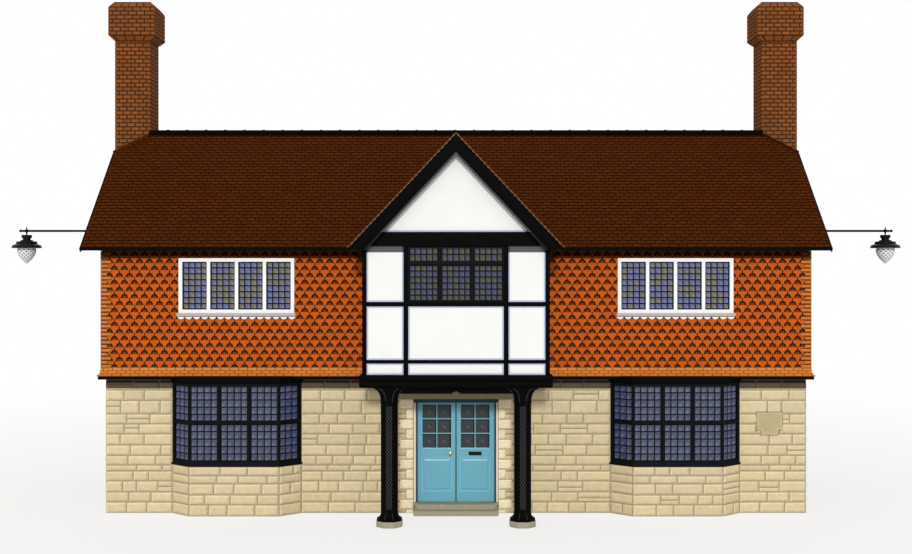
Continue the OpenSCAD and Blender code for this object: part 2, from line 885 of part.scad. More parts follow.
// The sill of a front window, over a strip whose lower edge is a row of half-round scallops
module window_aprons() {
    pitch = apron_w / scallop_count;
    color("white") for (x = [-bay_x, bay_x]) translate([x, 0, window_z]) union() {
        block([-apron_w / 2, -hung_y - 80, -sill_h], [apron_w / 2, -hung_y, 0]);
        along_y(-hung_y - 25, -hung_y) difference() {
            union() {
                translate([-apron_w / 2, -sill_h - 12]) square([apron_w, 12]);
                for (i = [0:scallop_count - 1])
                    translate([-apron_w / 2 + (i + 0.5) * pitch, 6 - sill_h]) circle(r = pitch * 0.47);
            }
            translate([-apron_w, -sill_h]) square([2 * apron_w, sill_h + pitch]);
        }
    }
}

glass_x = [92, 677];
glass_z = [1282, 2162];
panel_z = [418, 1081];
glass_t = 6;
leaf_bar_w = 20;

module leaf_sheet() {
    mid = (leaf_y[0] + leaf_y[1]) / 2;
    block([glass_x[0], mid - glass_t / 2, glass_z[0]], [glass_x[1], mid + glass_t / 2, glass_z[1]]);
}

// The field of a leaf's panel, bevelled on all four sides
module raised_field(face_y, out_y) {
    bevel = 45;
    x = [glass_x[0] + 12, glass_x[1] - 12];
    z = [panel_z[0] + 12, panel_z[1] - 12];
    intersection() {
        along_x(x[0], x[1]) polygon([[face_y, z[0]], [out_y, z[0] + bevel], [out_y, z[1] - bevel],
                                     [face_y, z[1]]]);
        linear_extrude(far / 4) polygon([[x[0], face_y], [x[0] + bevel, out_y], [x[1] - bevel, out_y],
                                         [x[1], face_y]]);
    }
}

module door_leaf(side) {
    sunk = [leaf_y[0] + 14, leaf_y[1] - 14];
    color("skyblue") mirror([side < 0 ? 1 : 0, 0, 0]) difference() {
        union() {
            difference() {
                block([leaf_x[0], leaf_y[0], leaf_z[0]], [leaf_x[1], leaf_y[1], leaf_z[1]]);
                block([glass_x[0], leaf_y[0] - 1, glass_z[0]], [glass_x[1], leaf_y[1] + 1, glass_z[1]]);
                block([glass_x[0], leaf_y[0] - 1, panel_z[0]], [glass_x[1], sunk[0], panel_z[1]]);
                block([glass_x[0], sunk[1], panel_z[0]], [glass_x[1], leaf_y[1] + 1, panel_z[1]]);
            }
            leaf_bars();
            raised_field(sunk[0], leaf_y[0] + 3);
            raised_field(sunk[1], leaf_y[1] - 3);
        }
        leaf_sheet();
    }
}

module leaf_bars() {
    mid_x = (glass_x[0] + glass_x[1]) / 2;
    block([mid_x - leaf_bar_w / 2, leaf_y[0] + 8, glass_z[0]],
          [mid_x + leaf_bar_w / 2, leaf_y[1] - 8, glass_z[1]]);
    for (i = [1, 2]) {
        z = glass_z[0] + (glass_z[1] - glass_z[0]) * i / 3;
        block([glass_x[0], leaf_y[0] + 8, z - leaf_bar_w / 2],
              [glass_x[1], leaf_y[1] - 8, z + leaf_bar_w / 2]);
    }
}

module door_leaf_left() door_leaf(-1);
module door_leaf_right() door_leaf(1);

module door_glass(side) {
    color("slategray", 0.5) mirror([side < 0 ? 1 : 0, 0, 0]) leaf_sheet();
}

module door_glass_left() door_glass(-1);
module door_glass_right() door_glass(1);

fittings_z = 1172;
knob_x = 115;

module door_knob() {
    color("gold") translate([-knob_x, leaf_y[0], fittings_z]) rotate([90, 0, 0]) rotate_extrude()
        polygon([[0, 0], [32, 0], [32, 5], [14, 9], [12, 26], [26, 32], [34, 44], [32, 56], [20, 66],
                 [0, 70]]);
}

module letter_plate() {
    mid = (glass_x[0] + glass_x[1]) / 2;
    color("gold") union() {
        block([mid - 130, leaf_y[0] - 4, fittings_z - 38], [mid + 130, leaf_y[0], fittings_z + 38]);
        block([mid - 108, leaf_y[0] - 10, fittings_z - 20], [mid + 108, leaf_y[0] - 4, fittings_z + 20]);
    }
}

ground_floor();
stone_wall_front_left();
stone_wall_front_right();
stone_wall_over_door();
stone_walls_side();
stone_wall_back();
upper_floor();
hung_wall_front_left();
hung_wall_front_right();
hung_walls_side();
hung_wall_back();
tile_skirt();
skirt_board();
bay_bases();
bay_frames();
bay_glass();
bay_heads();
door_quoins();
door_lintel();
door_frame();
door_steps();
porch_columns();
column_pads();
bressummer();
porch_side_beams();
arch_board();
chamber_floor();
chamber_front_frame();
chamber_side_frames();
chamber_panels();
chamber_window_frame();
chamber_window_glass();
tie_beam();
bargeboards();
bargeboard_moulding();
gable_roof_left();
gable_roof_right();
window_frames();
window_glass();
window_aprons();
roof_front_left();
roof_front_right();
roof_back();
ridge_caps();
eaves_boards();
verge_boards();
chimney_left();
chimney_right();
lamp_brackets();
lamp_globes();
stone_plaque();
door_leaf_left();
door_leaf_right();
door_glass_left();
door_glass_right();
door_knob();
letter_plate();
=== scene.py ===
"""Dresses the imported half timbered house: clay tiles on its roofs and upper walls, squared stone
below, brick stacks, leaded lights, black timbers, lime plaster and a painted pair of doors.

Every size is in metres, in the CAD model's frame: the front looks towards -Y and +Z is up.
"""

import math
import random

import bmesh
import bpy
from mathutils import Matrix, Vector


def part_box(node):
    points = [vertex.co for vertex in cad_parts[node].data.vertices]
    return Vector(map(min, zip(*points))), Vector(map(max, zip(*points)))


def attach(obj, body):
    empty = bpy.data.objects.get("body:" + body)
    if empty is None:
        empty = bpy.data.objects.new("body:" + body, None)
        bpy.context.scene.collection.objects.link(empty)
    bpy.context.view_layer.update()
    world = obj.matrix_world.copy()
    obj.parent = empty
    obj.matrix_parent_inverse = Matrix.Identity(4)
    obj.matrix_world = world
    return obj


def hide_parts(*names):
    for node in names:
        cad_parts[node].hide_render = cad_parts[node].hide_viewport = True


bl_info = {"name": "Half Timbered House Dressing", "version": (1, 0, 0), "blender": (4, 5, 0),
    "location": "View3D > Sidebar > House",
    "description": "Lays tiles, stones, bricks and leaded lights over the frame of a village house",
    "category": "Object"}

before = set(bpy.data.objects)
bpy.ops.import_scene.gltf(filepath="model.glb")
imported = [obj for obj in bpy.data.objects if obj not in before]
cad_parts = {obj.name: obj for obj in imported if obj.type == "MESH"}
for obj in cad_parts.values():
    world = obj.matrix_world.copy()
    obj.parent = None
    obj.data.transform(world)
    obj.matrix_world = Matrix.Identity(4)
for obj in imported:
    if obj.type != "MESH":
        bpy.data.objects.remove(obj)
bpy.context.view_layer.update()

# The frame's own planes and places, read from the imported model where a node's box gives them
WALL_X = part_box("stone_walls_side")[1][0]
WALL_Y = -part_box("stone_wall_front_left")[0][1]
HUNG_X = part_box("hung_walls_side")[1][0]
HUNG_Y = -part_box("hung_wall_front_left")[0][1]
SKIRT_Z = (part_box("tile_skirt")[0][2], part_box("tile_skirt")[1][2])
SKIRT_OUT = (0.14, 0.072)
SOFFIT_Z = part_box("eaves_boards")[0][2]
EAVE = (2.98, 5.29)
PITCH = math.radians(40.5)
RIDGE_Z = EAVE[1] + EAVE[0] * math.tan(PITCH)
RIDGE_HALF = 6.77
VERGE_X = 7.4
HIP = (0.63, 0.45)
HIP_FOOT_Y = HIP[1] / math.tan(PITCH)
ROOF_T = 0.11
GABLE_HALF = 2.0
GABLE_PITCH = math.radians(46.7)
GABLE_RIDGE_Z = EAVE[1] + GABLE_HALF * math.tan(GABLE_PITCH)
GABLE_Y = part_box("bargeboard_moulding")[0][1]
VALLEY_Y = -(RIDGE_Z - GABLE_RIDGE_Z) / math.tan(PITCH)
CHAMBER_X = 1.775
CHAMBER_Y = -4.05
BAY_X = 4.38
STACK_X = (6.76, 7.53)
STACK_Y = (0.0, 0.78)
HEAD_Z = 9.9
STACK_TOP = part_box("chimney_left")[1][2]
COLUMN = (1.265, -3.905)
TIE_BEAM_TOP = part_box("tie_beam")[1][2]
# Where the plaster meets the posts, from the middle of the front, and the rails
POST_EDGES = (0.9025, 0.9935, 1.69)
RAIL_EDGES = (2.884, 3.099, 3.167, 4.178, 4.263, TIE_BEAM_TOP)

# Where painted shade darkens what lies under an overhang: under the eaves (level, light left, slope) and
# the skirt
EAVES_SHADE = (RIDGE_Z - ROOF_T - 0.31, 0.14, math.tan(PITCH))
SKIRT_SHADE = 2.49
# The height of one corner tile's course
CORNER_COURSE = 0.08
# The casements: half their width, and their feet and tops upstairs and at the back below
WINDOW_HALF = 1.155
WINDOW_Z = (3.996, 5.096)
BACK_WINDOW_Z = (1.15, 2.25)
# The tail of the lowest hung tile
TAIL_Z = 2.904

ALONG_X = Vector((1, 0, 0))
ALONG_Y = Vector((0, 1, 0))
UP = Vector((0, 0, 1))
SIDES = (("left", -1), ("right", 1))
# Added before a number is rounded down, in case it falls just short of a whole one
ROUNDING = 1e-4
# Half a width so large that no joint is drawn
UNJOINTED = 10.0


def linear(code):
    """An sRGB hex value as the linear colour that a shader takes."""
    parts = [int(code[i : i + 2], 16) / 255 for i in (1, 3, 5)]
    return tuple(c / 12.92 if c <= 0.04045 else ((c + 0.055) / 1.055) ** 2.4 for c in parts)


def feed(made, inputs):
    """Links or sets a node's inputs: a row of them in their order, a table by name or number."""
    given = inputs if isinstance(inputs, dict) else dict(enumerate(inputs))
    for key, value in given.items():
        socket = made.inputs[key]
        if isinstance(value, bpy.types.NodeSocket):
            made.id_data.links.new(value, socket)
        else:
            socket.default_value = (*value, 1) if socket.type == "RGBA" else value


class Nodes:
    """A node tree while it is made."""

    def __init__(self, tree):
        self.tree = tree

    def add(self, kind, inputs=(), **settings):
        """Adds a node with its settings and links, and gives its first output in use, or the node."""
        made = self.tree.nodes.new(kind)
        for key, value in settings.items():
            setattr(made, key, value)
        feed(made, inputs)
        return next((out for out in made.outputs if out.enabled), made)


# The sizes and colours that a user would change


def length(label, text, default):
    """A length in metres with its label and its description."""
    return bpy.props.FloatProperty(name=label, description=text, default=default, min=0, unit="LENGTH",
        subtype="DISTANCE")


def colour(label, text, code):
    """A colour with its label and its description, from an sRGB hex value."""
    return bpy.props.FloatVectorProperty(name=label, description=text, default=linear(code), min=0, max=1,
        size=3, subtype="COLOR")


class HouseTiles(bpy.types.PropertyGroup):
    """Sizes and colours of the clay tiles."""

    roof_pitch: length("Roof tile pitch", "Width of a roof tile with its joint", 0.18)
    roof_gauge: length("Roof tile gauge", "Height of roof tile that shows on the slope", 0.103)
    roof_thick: length("Roof tile thickness", "Thickness of a roof tile at its tail", 0.013)
    hung_pitch: length("Hung tile pitch", "Width of a hung tile with its joint", 0.1998)
    hung_gauge: length("Hung tile gauge", "Height of hung tile that shows on the wall", 0.1397)
    hung_thick: length("Hung tile thickness", "Thickness of a hung tile at its tail", 0.011)
    cove_wide: length("Cove width", "Width of the cove cut from each lower corner", 0.07)
    cove_high: length("Cove height", "Height of the cove cut from each lower corner", 0.08)
    skirt_pitch: length("Skirt tile pitch", "Width of a skirt tile with its joint", 0.18)
    roof_colour: colour("Roof clay", "Brown clay of the roof tiles", "#522404")
    ridge_colour: colour("Ridge clay", "Dark clay of the ridge and hip tiles", "#0d0805")
    hung_colour: colour("Hung clay", "Orange clay of the hung tiles", "#c45c1b")
    shade_colour: colour("Shaded clay", "Hung tile in the coves of the course above", "#783811")
    skirt_colour: colour("Skirt clay", "Paler clay of the skirt and corner tiles", "#cd7734")


class HouseMasonry(bpy.types.PropertyGroup):
    """Sizes and colours of the stones and bricks."""

    stone_low: length("Shortest stone", "Shortest stone in a course", 0.27)
    stone_high: length("Longest stone", "Longest stone in a course", 0.56)
    stone_joint: length("Stone joint", "Width of the joints between stones", 0.024)
    stone_proud: length("Stone relief", "How far a stone's face stands past its joint", 0.021)
    brick_long: length("Brick length", "Length of a brick with its joint", 0.177)
    brick_high: length("Brick height", "Height of a brick course", 0.088)
    brick_joint: length("Brick joint", "Width of the joints between bricks", 0.024)
    stone_colour: colour("Stone", "Squared limestone of the lower walls", "#dbc9a2")
    mortar_colour: colour("Stone mortar", "Lime mortar between the stones", "#a39a7e")
    quoin_colour: colour("Quoins", "Paler dressed stone beside the door", "#fbebc8")
    step_colour: colour("Steps", "Worn grey stone of the steps and pads", "#aca68e")
    brick_colour: colour("Brick", "Brown stock brick of the stacks", "#894f26")
    brick_mortar: colour("Brick mortar", "Sooty mortar of the stacks", "#2c1d10")


class HouseJoinery(bpy.types.PropertyGroup):
    """Sizes and colours of the timber, the glass and the metal."""

    came: length("Lead width", "Width of the lead that parts the panes", 0.025)
    pane_tilt: bpy.props.FloatProperty(name="Pane tilt", description="How far one pane leans from the next",
        default=math.radians(0.9), min=0, subtype="ANGLE")
    arris: length("Eased edge", "Width of the worn edge on the timbers", 0.006)
    timber_colour: colour("Timber", "Black paint on the oak", "#050505")
    moulding_colour: colour("Moulding", "Grey paint on the gable moulding", "#414141")
    frame_colour: colour("Dark frames", "Near-black paint on the bay windows", "#0b0c0d")
    white_colour: colour("White frames", "White paint on the upper windows", "#fbfbfa")
    plaster_colour: colour("Plaster", "Limewashed plaster between the timbers", "#f7f7f5")
    door_colour: colour("Door", "Blue paint on the doors", "#6db3c7")
    surround_colour: colour("Door frame", "Cream paint on the door frame", "#fdf1d8")
    lead_colour: colour("Lead", "Weathered lead of the windows", "#121517")


class HouseStage(bpy.types.PropertyGroup):
    """The floor, the lamps and the camera."""

    floor_size: length("Floor", "Width of the pale floor", 700.0)
    sun_power: bpy.props.FloatProperty(name="Sun", description="Strength of the main lamp", default=1.45,
        min=0)
    sun_width: bpy.props.FloatProperty(name="Sun width",
        description="Width of the main lamp as seen from the house, which softens its shadows",
        default=math.radians(7), min=0, subtype="ANGLE")
    sky_power: bpy.props.FloatProperty(name="Sky", description="Strength of the light from all round",
        default=0.6, min=0)
    floor_colour: colour("Floor colour", "Colour of the pale floor", "#efede9")


# Meshes


def solid(name, points, faces, uv=None):
    """A plain mesh whose UV map holds each corner's own two sizes in metres."""
    mesh = bpy.data.meshes.new(name)
    mesh.from_pydata([tuple(p) for p in points], [], faces)
    layer = mesh.uv_layers.new(name="UVMap")
    for loop in mesh.loops:
        place = mesh.vertices[loop.vertex_index].co
        layer.data[loop.index].uv = uv(place) if uv else (place.x, place.y)
    mesh.update()
    return mesh


def drawn(outline, low, high):
    """Points and faces of an outline in X and Y, drawn out from one height to another."""
    count = len(outline)
    points = [(*p, low) for p in outline] + [(*p, high) for p in outline]
    faces = [list(range(count - 1, -1, -1)), list(range(count, 2 * count))]
    faces += [(i, (i + 1) % count, count + (i + 1) % count, count + i) for i in range(count)]
    return points, faces


def placing(origin, across, upward):
    """The matrix that lays a flat pattern on a surface, facing out along across x upward."""
    out = across.cross(upward)
    turn = Matrix((across, upward, out)).transposed().to_4x4()
    return Matrix.Translation(origin) @ turn


def opened(*meshes):
    """Meshes laid open for editing, as one."""
    whole = bmesh.new()
    for mesh in meshes:
        whole.from_mesh(mesh)
    return whole


def closed(whole, name, outward=False):
    """A plain mesh from one that was laid open, with its faces turned outwards where asked."""
    if outward:
        bmesh.ops.recalc_face_normals(whole, faces=whole.faces)
    made = bpy.data.meshes.new(name)
    whole.to_mesh(made)
    whole.free()
    return made


def joined(meshes, name, outward=False):
    """One mesh made of several."""
    return closed(opened(*meshes), name, outward)


def clip(whole, planes):
    """Cuts everything past each plane away, and closes what was cut."""
    for place, out in planes:
        everything = whole.verts[:] + whole.edges[:] + whole.faces[:]
        bmesh.ops.bisect_plane(whole, geom=everything, plane_co=place, plane_no=out, clear_outer=True)
        open_edges = [e for e in whole.edges if e.is_boundary]
        bmesh.ops.holes_fill(whole, edges=open_edges, sides=0)


def clipped(mesh, planes):
    """A copy of a mesh, cut by planes."""
    whole = opened(mesh)
    clip(whole, planes)
    return closed(whole, mesh.name)


def plan_planes(outline):
    """Upright planes on the edges of a convex plan, drawn anticlockwise."""
    planes = []
    for i, start in enumerate(outline):
        end = outline[(i + 1) % len(outline)]
        out = Vector((end[1] - start[1], start[0] - end[0], 0)).normalized()
        planes.append((Vector((*start, 0)), out))
    return planes


def pierced(mesh, per_tile, hole):
    """A flat field of like tiles with a window's hole, where the tiles on its edge are cut."""
    left, right, low, high = hole
    inside, crossing = set(), set()
    for first in range(0, len(mesh.vertices), per_tile):
        spread = [mesh.vertices[first + k].co for k in range(per_tile)]
        x = [p.x for p in spread]
        y = [p.y for p in spread]
        if max(x) <= left or min(x) >= right or max(y) <= low or min(y) >= high:
            continue
        whole_in = min(x) >= left and max(x) <= right and min(y) >= low and max(y) <= high
        (inside if whole_in else crossing).add(first)
    between = [((left, 0, 0), -ALONG_X), ((right, 0, 0), ALONG_X)]
    strips = [[((left, 0, 0), ALONG_X)], [((right, 0, 0), -ALONG_X)], [*between, ((0, low, 0), ALONG_Y)],
        [*between, ((0, high, 0), -ALONG_Y)]]
    parts = []
    for planes in [(), *strips]:
        part = opened(mesh)
        gone = []
        for v in part.verts:
            first = v.index // per_tile * per_tile
            if first in inside or (first in crossing) != bool(planes):
                gone.append(v)
        bmesh.ops.delete(part, geom=gone, context="VERTS")
        clip(part, planes)
        parts.append(closed(part, mesh.name))
    return joined(parts, mesh.name)


def rounded_shading(mesh, angle=32):
    """Shades a mesh smooth across its shallow edges only."""
    mesh.shade_smooth()
    mesh.set_sharp_from_angle(angle=math.radians(angle))


def stood(name, data, place=(0, 0, 0), turn=(0, 0, 0)):
    """A new object in the scene, at a place and a turn."""
    made = bpy.data.objects.new(name, data)
    made.location, made.rotation_euler = place, turn
    bpy.context.scene.collection.objects.link(made)
    return made


def piece(name, mesh, material, body="house", stands_for=()):
    """Hands a finished mesh over as a piece that rides on a body of the frame."""
    mesh.name = name
    mesh.materials.clear()
    mesh.materials.append(material)
    made = stood(name, mesh)
    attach(made, body)
    if stands_for:
        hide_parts(*stands_for)


def finish(material, *names):
    """Gives CAD nodes that stay a finished material."""
    for name in names:
        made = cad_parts[name]
        if not made.material_slots:
            made.data.materials.append(material)
        for place in made.material_slots:
            place.material = material


def from_node(name):
    """A CAD node's mesh laid open, with its loose triangles merged."""
    whole = opened(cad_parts[name].data)
    bmesh.ops.remove_doubles(whole, verts=whole.verts, dist=0.00005)
    return whole


def round_edges(whole, angle, width, cuts=2):
    """Rounds the edges that are sharper than an angle."""
    sharp = [e for e in whole.edges if len(e.link_faces) == 2 and e.calc_face_angle(0) > angle]
    bmesh.ops.bevel(whole, geom=sharp, offset=width, segments=cuts, profile=0.6, affect="EDGES",
        clamp_overlap=True)


def eased(name, source, width, material, cuts=2):
    """A copy of a CAD node with worn edges, which stands for it."""
    whole = from_node(source)
    round_edges(whole, math.radians(28), width, cuts)
    made = closed(whole, name)
    for layer in list(made.uv_layers):
        made.uv_layers.remove(layer)
    rounded_shading(made, 40)
    piece(name, made, material, stands_for=(source,))


# Geometry Nodes


def new_tree(name, sockets):
    """A geometry tree with its named inputs."""
    group = bpy.data.node_groups.new(name, "GeometryNodeTree")
    group.interface.new_socket(name="Geometry", in_out="OUTPUT", socket_type="NodeSocketGeometry")
    for label, kind, default in sockets:
        socket = group.interface.new_socket(name=label, in_out="INPUT", socket_type="NodeSocket" + kind)
        if default is not None:
            socket.default_value = default
    tree = Nodes(group)
    return tree, tree.add("NodeGroupInput").node.outputs


def leaning(tree, least, most, given, bound):
    """A turn for each copy, drawn at random between two leans that an input stretches."""
    ends = [tree.add("ShaderNodeVectorMath", {0: end, "Scale": given[bound]},
        operation="SCALE") for end in (least, most)]
    return tree.add("FunctionNodeRandomValue", {0: ends[0], 1: ends[1], "Seed": given["Seed"]},
        data_type="FLOAT_VECTOR")


def toned(tree, copies, given):
    """Ends a tree: a tone for each copy, kept on the real mesh, and the material."""
    chance = tree.add("FunctionNodeRandomValue", {2: 0.0, 3: 1.0, "Seed": given["Seed"]}, data_type="FLOAT")
    shift = tree.add("GeometryNodeStoreNamedAttribute",
        {"Geometry": copies, "Name": "shift", "Value": chance}, data_type="FLOAT", domain="INSTANCE")
    real = tree.add("GeometryNodeRealizeInstances", {"Geometry": shift})
    own = tree.add("GeometryNodeInputNamedAttribute", {"Name": "tone"}, data_type="FLOAT")
    moved = tree.add("GeometryNodeInputNamedAttribute", {"Name": "shift"}, data_type="FLOAT")
    total = tree.add("ShaderNodeMath", (own, moved), operation="ADD")
    wrapped = tree.add("ShaderNodeMath", (total,), operation="FRACT")
    tone = tree.add("GeometryNodeStoreNamedAttribute", {"Geometry": real, "Name": "tone", "Value": wrapped},
        data_type="FLOAT", domain="POINT")
    clean = tree.add("GeometryNodeRemoveAttribute", {"Geometry": tone, "Name": "shift"})
    last = tree.add("GeometryNodeSetMaterial", {"Geometry": clean, "Material": given["Material"]})
    tree.add("NodeGroupOutput", {"Geometry": last})
    return tree.tree


def rows_tree():
    """Copies of the object's own mesh in rows and columns, every other row set off sideways."""
    tree, given = new_tree("rows_and_columns", (("Geometry", "Geometry", None), ("Columns", "Int", 1),
        ("Rows", "Int", 1), ("Across", "Vector", (1, 0, 0)), ("Upward", "Vector", (0, 1, 0)),
        ("Set-off", "Float", 0.0), ("Unevenness", "Float", 0.0), ("Seed", "Int", 1),
        ("Material", "Material", None)))
    columns = given["Columns"]
    count = tree.add("ShaderNodeMath", (columns, given["Rows"]), operation="MULTIPLY")
    points = tree.add("GeometryNodePoints", {"Count": count})
    index = tree.add("GeometryNodeInputIndex")
    column = tree.add("ShaderNodeMath", (index, columns), operation="FLOORED_MODULO")
    part = tree.add("ShaderNodeMath", (index, columns), operation="DIVIDE")
    part = tree.add("ShaderNodeMath", (part, ROUNDING), operation="ADD")
    row = tree.add("ShaderNodeMath", (part,), operation="FLOOR")
    odd = tree.add("ShaderNodeMath", (row, 2.0), operation="FLOORED_MODULO")
    moved = tree.add("ShaderNodeMath", (odd, given["Set-off"], column), operation="MULTIPLY_ADD")
    sideways = tree.add("ShaderNodeVectorMath", {0: given["Across"], "Scale": moved}, operation="SCALE")
    upwards = tree.add("ShaderNodeVectorMath", {0: given["Upward"], "Scale": row}, operation="SCALE")
    place = tree.add("ShaderNodeVectorMath", (sideways, upwards), operation="ADD")
    spread = tree.add("GeometryNodeSetPosition", {"Geometry": points, "Position": place})
    lean = leaning(tree, (-1.0, -1.0, -1.0), (1.0, 1.0, 1.0), given, "Unevenness")
    copies = tree.add("GeometryNodeInstanceOnPoints", {"Points": spread, "Instance": given["Geometry"],
        "Rotation": lean})
    return toned(tree, copies, given)


def glazing_tree():
    """A unit shape set on every point, stretched by its span and turned by its turn."""
    tree, given = new_tree("shapes_on_points", (("Geometry", "Geometry", None), ("Shape", "Object", None),
        ("Lean", "Float", 0.0), ("Seed", "Int", 1), ("Material", "Material", None)))
    shape = tree.add("GeometryNodeObjectInfo", {"Object": given["Shape"]}).node.outputs["Geometry"]
    span = tree.add("GeometryNodeInputNamedAttribute", {"Name": "span"}, data_type="FLOAT_VECTOR")
    turn = tree.add("GeometryNodeInputNamedAttribute", {"Name": "turn"}, data_type="FLOAT_VECTOR")
    lean = leaning(tree, (-1.0, -0.3, -1.0), (1.0, 0.3, 1.0), given, "Lean")
    turn = tree.add("ShaderNodeVectorMath", (turn, lean), operation="ADD")
    copies = tree.add("GeometryNodeInstanceOnPoints", {"Points": given["Geometry"], "Instance": shape,
        "Rotation": turn, "Scale": span})
    return toned(tree, copies, given)


def grown(tree_maker, base, **inputs):
    """The plain mesh that a node tree makes from a base mesh. Spaces in a name are written _."""
    name = tree_maker.__name__
    group = bpy.data.node_groups.get(name)
    if group is None:
        group = tree_maker()
        group.name = name
    holder = stood(base.name + "_pattern", base)
    modifier = holder.modifiers.new(name, "NODES")
    modifier.node_group = group
    for item in group.interface.items_tree:
        key = item.name.replace(" ", "_").replace("-", "_")
        if item.in_out == "INPUT" and key in inputs:
            modifier[item.identifier] = inputs[key]
    graph = bpy.context.evaluated_depsgraph_get()
    mesh = bpy.data.meshes.new_from_object(holder.evaluated_get(graph), preserve_all_data_layers=True,
        depsgraph=graph)
    bpy.data.objects.remove(holder)
    if not mesh.polygons:
        raise RuntimeError(f"the node tree {name} made nothing from {base.name}")
    return mesh


def on_points(name, shape, points, lean=0.0, seed=1):
    """A unit shape on each of a list of (place, span, turn)."""
    base = bpy.data.meshes.new(name)
    base.from_pydata([tuple(p[0]) for p in points], [], [])
    for label, column in (("span", 1), ("turn", 2)):
        layer = base.attributes.new(label, "FLOAT_VECTOR", "POINT")
        layer.data.foreach_set("vector", [c for p in points for c in p[column]])
    unit = stood(name + "_unit", shape)
    made = grown(glazing_tree, base, Shape=unit, Lean=lean, Seed=seed)
    bpy.data.objects.remove(unit)
    return made


# Materials


def shade(tint, factor):
    """A colour made darker or lighter."""
    return tuple(min(1.0, c * factor) for c in tint)


class Surface(Nodes):
    """A material while it is made: its shader, its colour so far, and what its patterns read."""

    def __init__(self, name, roughness, metallic=0.0, gleam=0.5):
        """A new material, or the one of this name, made over again."""
        self.material = bpy.data.materials.get(name) or bpy.data.materials.new(name)
        self.material.use_nodes = True
        super().__init__(self.material.node_tree)
        self.tree.nodes.clear()
        self.shader = self.add("ShaderNodeBsdfPrincipled", {"Roughness": roughness, "Metallic": metallic,
            "Specular IOR Level": gleam}).node
        self.add("ShaderNodeOutputMaterial", {"Surface": self.shader.outputs[0]})
        self.place = self.add("ShaderNodeTexCoord").node.outputs["Object"]
        self.tone = self.add("ShaderNodeAttribute", attribute_name="tone").node.outputs["Fac"]
        self.x, self.y, self.z = self.add("ShaderNodeSeparateXYZ", (self.place,)).node.outputs
        self.colour = None

    def own_map(self):
        """The two numbers that a piece's UV map holds at each place."""
        uv = self.add("ShaderNodeUVMap", uv_map="UVMap")
        return self.add("ShaderNodeSeparateXYZ", (uv,)).node.outputs[:2]

    def own_sizes(self):
        """The two sizes in a piece's UV map: across from its middle, and up from its tail."""
        across, up = self.own_map()
        return self.away(across), up

    def away(self, source, middle=0.0):
        """How far a number lies from a middle, on either side."""
        off = self.add("ShaderNodeMath", (source, middle), operation="SUBTRACT")
        return self.add("ShaderNodeMath", (off,), operation="ABSOLUTE")

    def round_corner(self, across, up, wide, high):
        """1 on a quarter of an ellipse round a corner, less within it and more outside."""
        across = self.add("ShaderNodeMath", (across, wide), operation="DIVIDE")
        across = self.add("ShaderNodeMath", (across, 2.0), operation="POWER")
        up = self.add("ShaderNodeMath", (up, high), operation="DIVIDE")
        return self.add("ShaderNodeMath", (up, up, across), operation="MULTIPLY_ADD")

    def edge_mask(self, source, near, far):
        """0 below near and 1 above far."""
        return self.add("ShaderNodeMapRange", (source, near, far, 0.0, 1.0),
            interpolation_type="SMOOTHSTEP")

    def mottled(self, tint, size, spread, grain, depth, drift=(0.9, 1.08)):
        """Colour that drifts from tint over patches of one size, and a grain that stands out by depth.

        spread is how far the tone of one unit may lie from the next, and grain is the grain's size.
        """
        patches = self.add("ShaderNodeTexNoise", {"Vector": self.place, "Scale": 1 / size, "Detail": 4.0,
            "Roughness": 0.6})
        part = self.add("ShaderNodeMapRange", (patches, 0.3, 0.7, *drift))
        base = self.add("ShaderNodeMix", {0: self.tone, 6: shade(tint, 1 - spread),
            7: shade(tint, 1 + spread)}, data_type="RGBA")
        self.colour = self.add("ShaderNodeVectorMath", {0: base, "Scale": part}, operation="SCALE")
        fine = self.add("ShaderNodeTexNoise", {"Vector": self.place, "Scale": 1 / grain, "Detail": 3.0,
            "Roughness": 0.65})
        bump = self.add("ShaderNodeBump", {"Strength": 0.6, "Distance": depth, "Height": fine})
        feed(self.shader, {"Base Color": self.colour, "Normal": bump})
        return self

    def masked(self, mask, tint, left=0.5):
        """Lays a second colour over the first where the mask is 1, or the first one darkened."""
        if tint is None:
            tint = self.add("ShaderNodeVectorMath", {0: self.colour, "Scale": left}, operation="SCALE")
        self.colour = self.add("ShaderNodeMix", {0: mask, 6: self.colour, 7: tint}, data_type="RGBA")
        feed(self.shader, {"Base Color": self.colour})
        return self

    def sheltered(self, level, left, slope=0.0):
        """Darkens what lies above a level with painted shade, as if an overhang cast it.

        left is how much of the colour's light stays, and slope tilts the level down away from y 0.
        """
        high = self.add("ShaderNodeMath", (self.away(self.y), slope, self.z), operation="MULTIPLY_ADD")
        return self.masked(self.edge_mask(high, level - 0.012, level + 0.012), None, left)

    def drafted(self, pale, shade_factor):
        """Paints each stone's top and left paler as a painted highlight, and its foot and right darker
        as painted shade, as if lit from the upper left. Both margins are ragged."""
        side = self.add("ShaderNodeAttribute", attribute_name="side").node.outputs["Fac"]
        ragged = self.add("ShaderNodeTexNoise", {"Vector": self.place, "Scale": 1 / 0.06, "Detail": 2.0})
        side = self.add("ShaderNodeMath", (ragged, 0.9, side), operation="MULTIPLY_ADD")
        self.masked(self.edge_mask(side, 0.62, 0.85), None, pale)
        return self.masked(self.edge_mask(side, 0.08, -0.15), None, shade_factor)


def roof_clay(tint, half_wide, name="hand_made_clay_roof_tile"):
    """Clay pressed in a sanded mould and fired dark: dull, sandy, each tile its own shade."""
    clay = Surface(name, 0.86, gleam=0.05).mottled(tint, 0.09, 0.16, 0.006, 0.0015)
    side, up = clay.own_sizes()
    # The real joints and tails are finer: these are as wide as they need to be to show, and the dark tails
    # are painted shade
    joint = clay.edge_mask(side, half_wide - 0.014, half_wide - 0.010)
    tail = clay.edge_mask(up, 0.027, 0.021)
    joints_and_tail_shade = clay.add("ShaderNodeMath", (joint, tail), operation="MAXIMUM")
    return clay.masked(joints_and_tail_shade, shade(tint, 0.42)).material


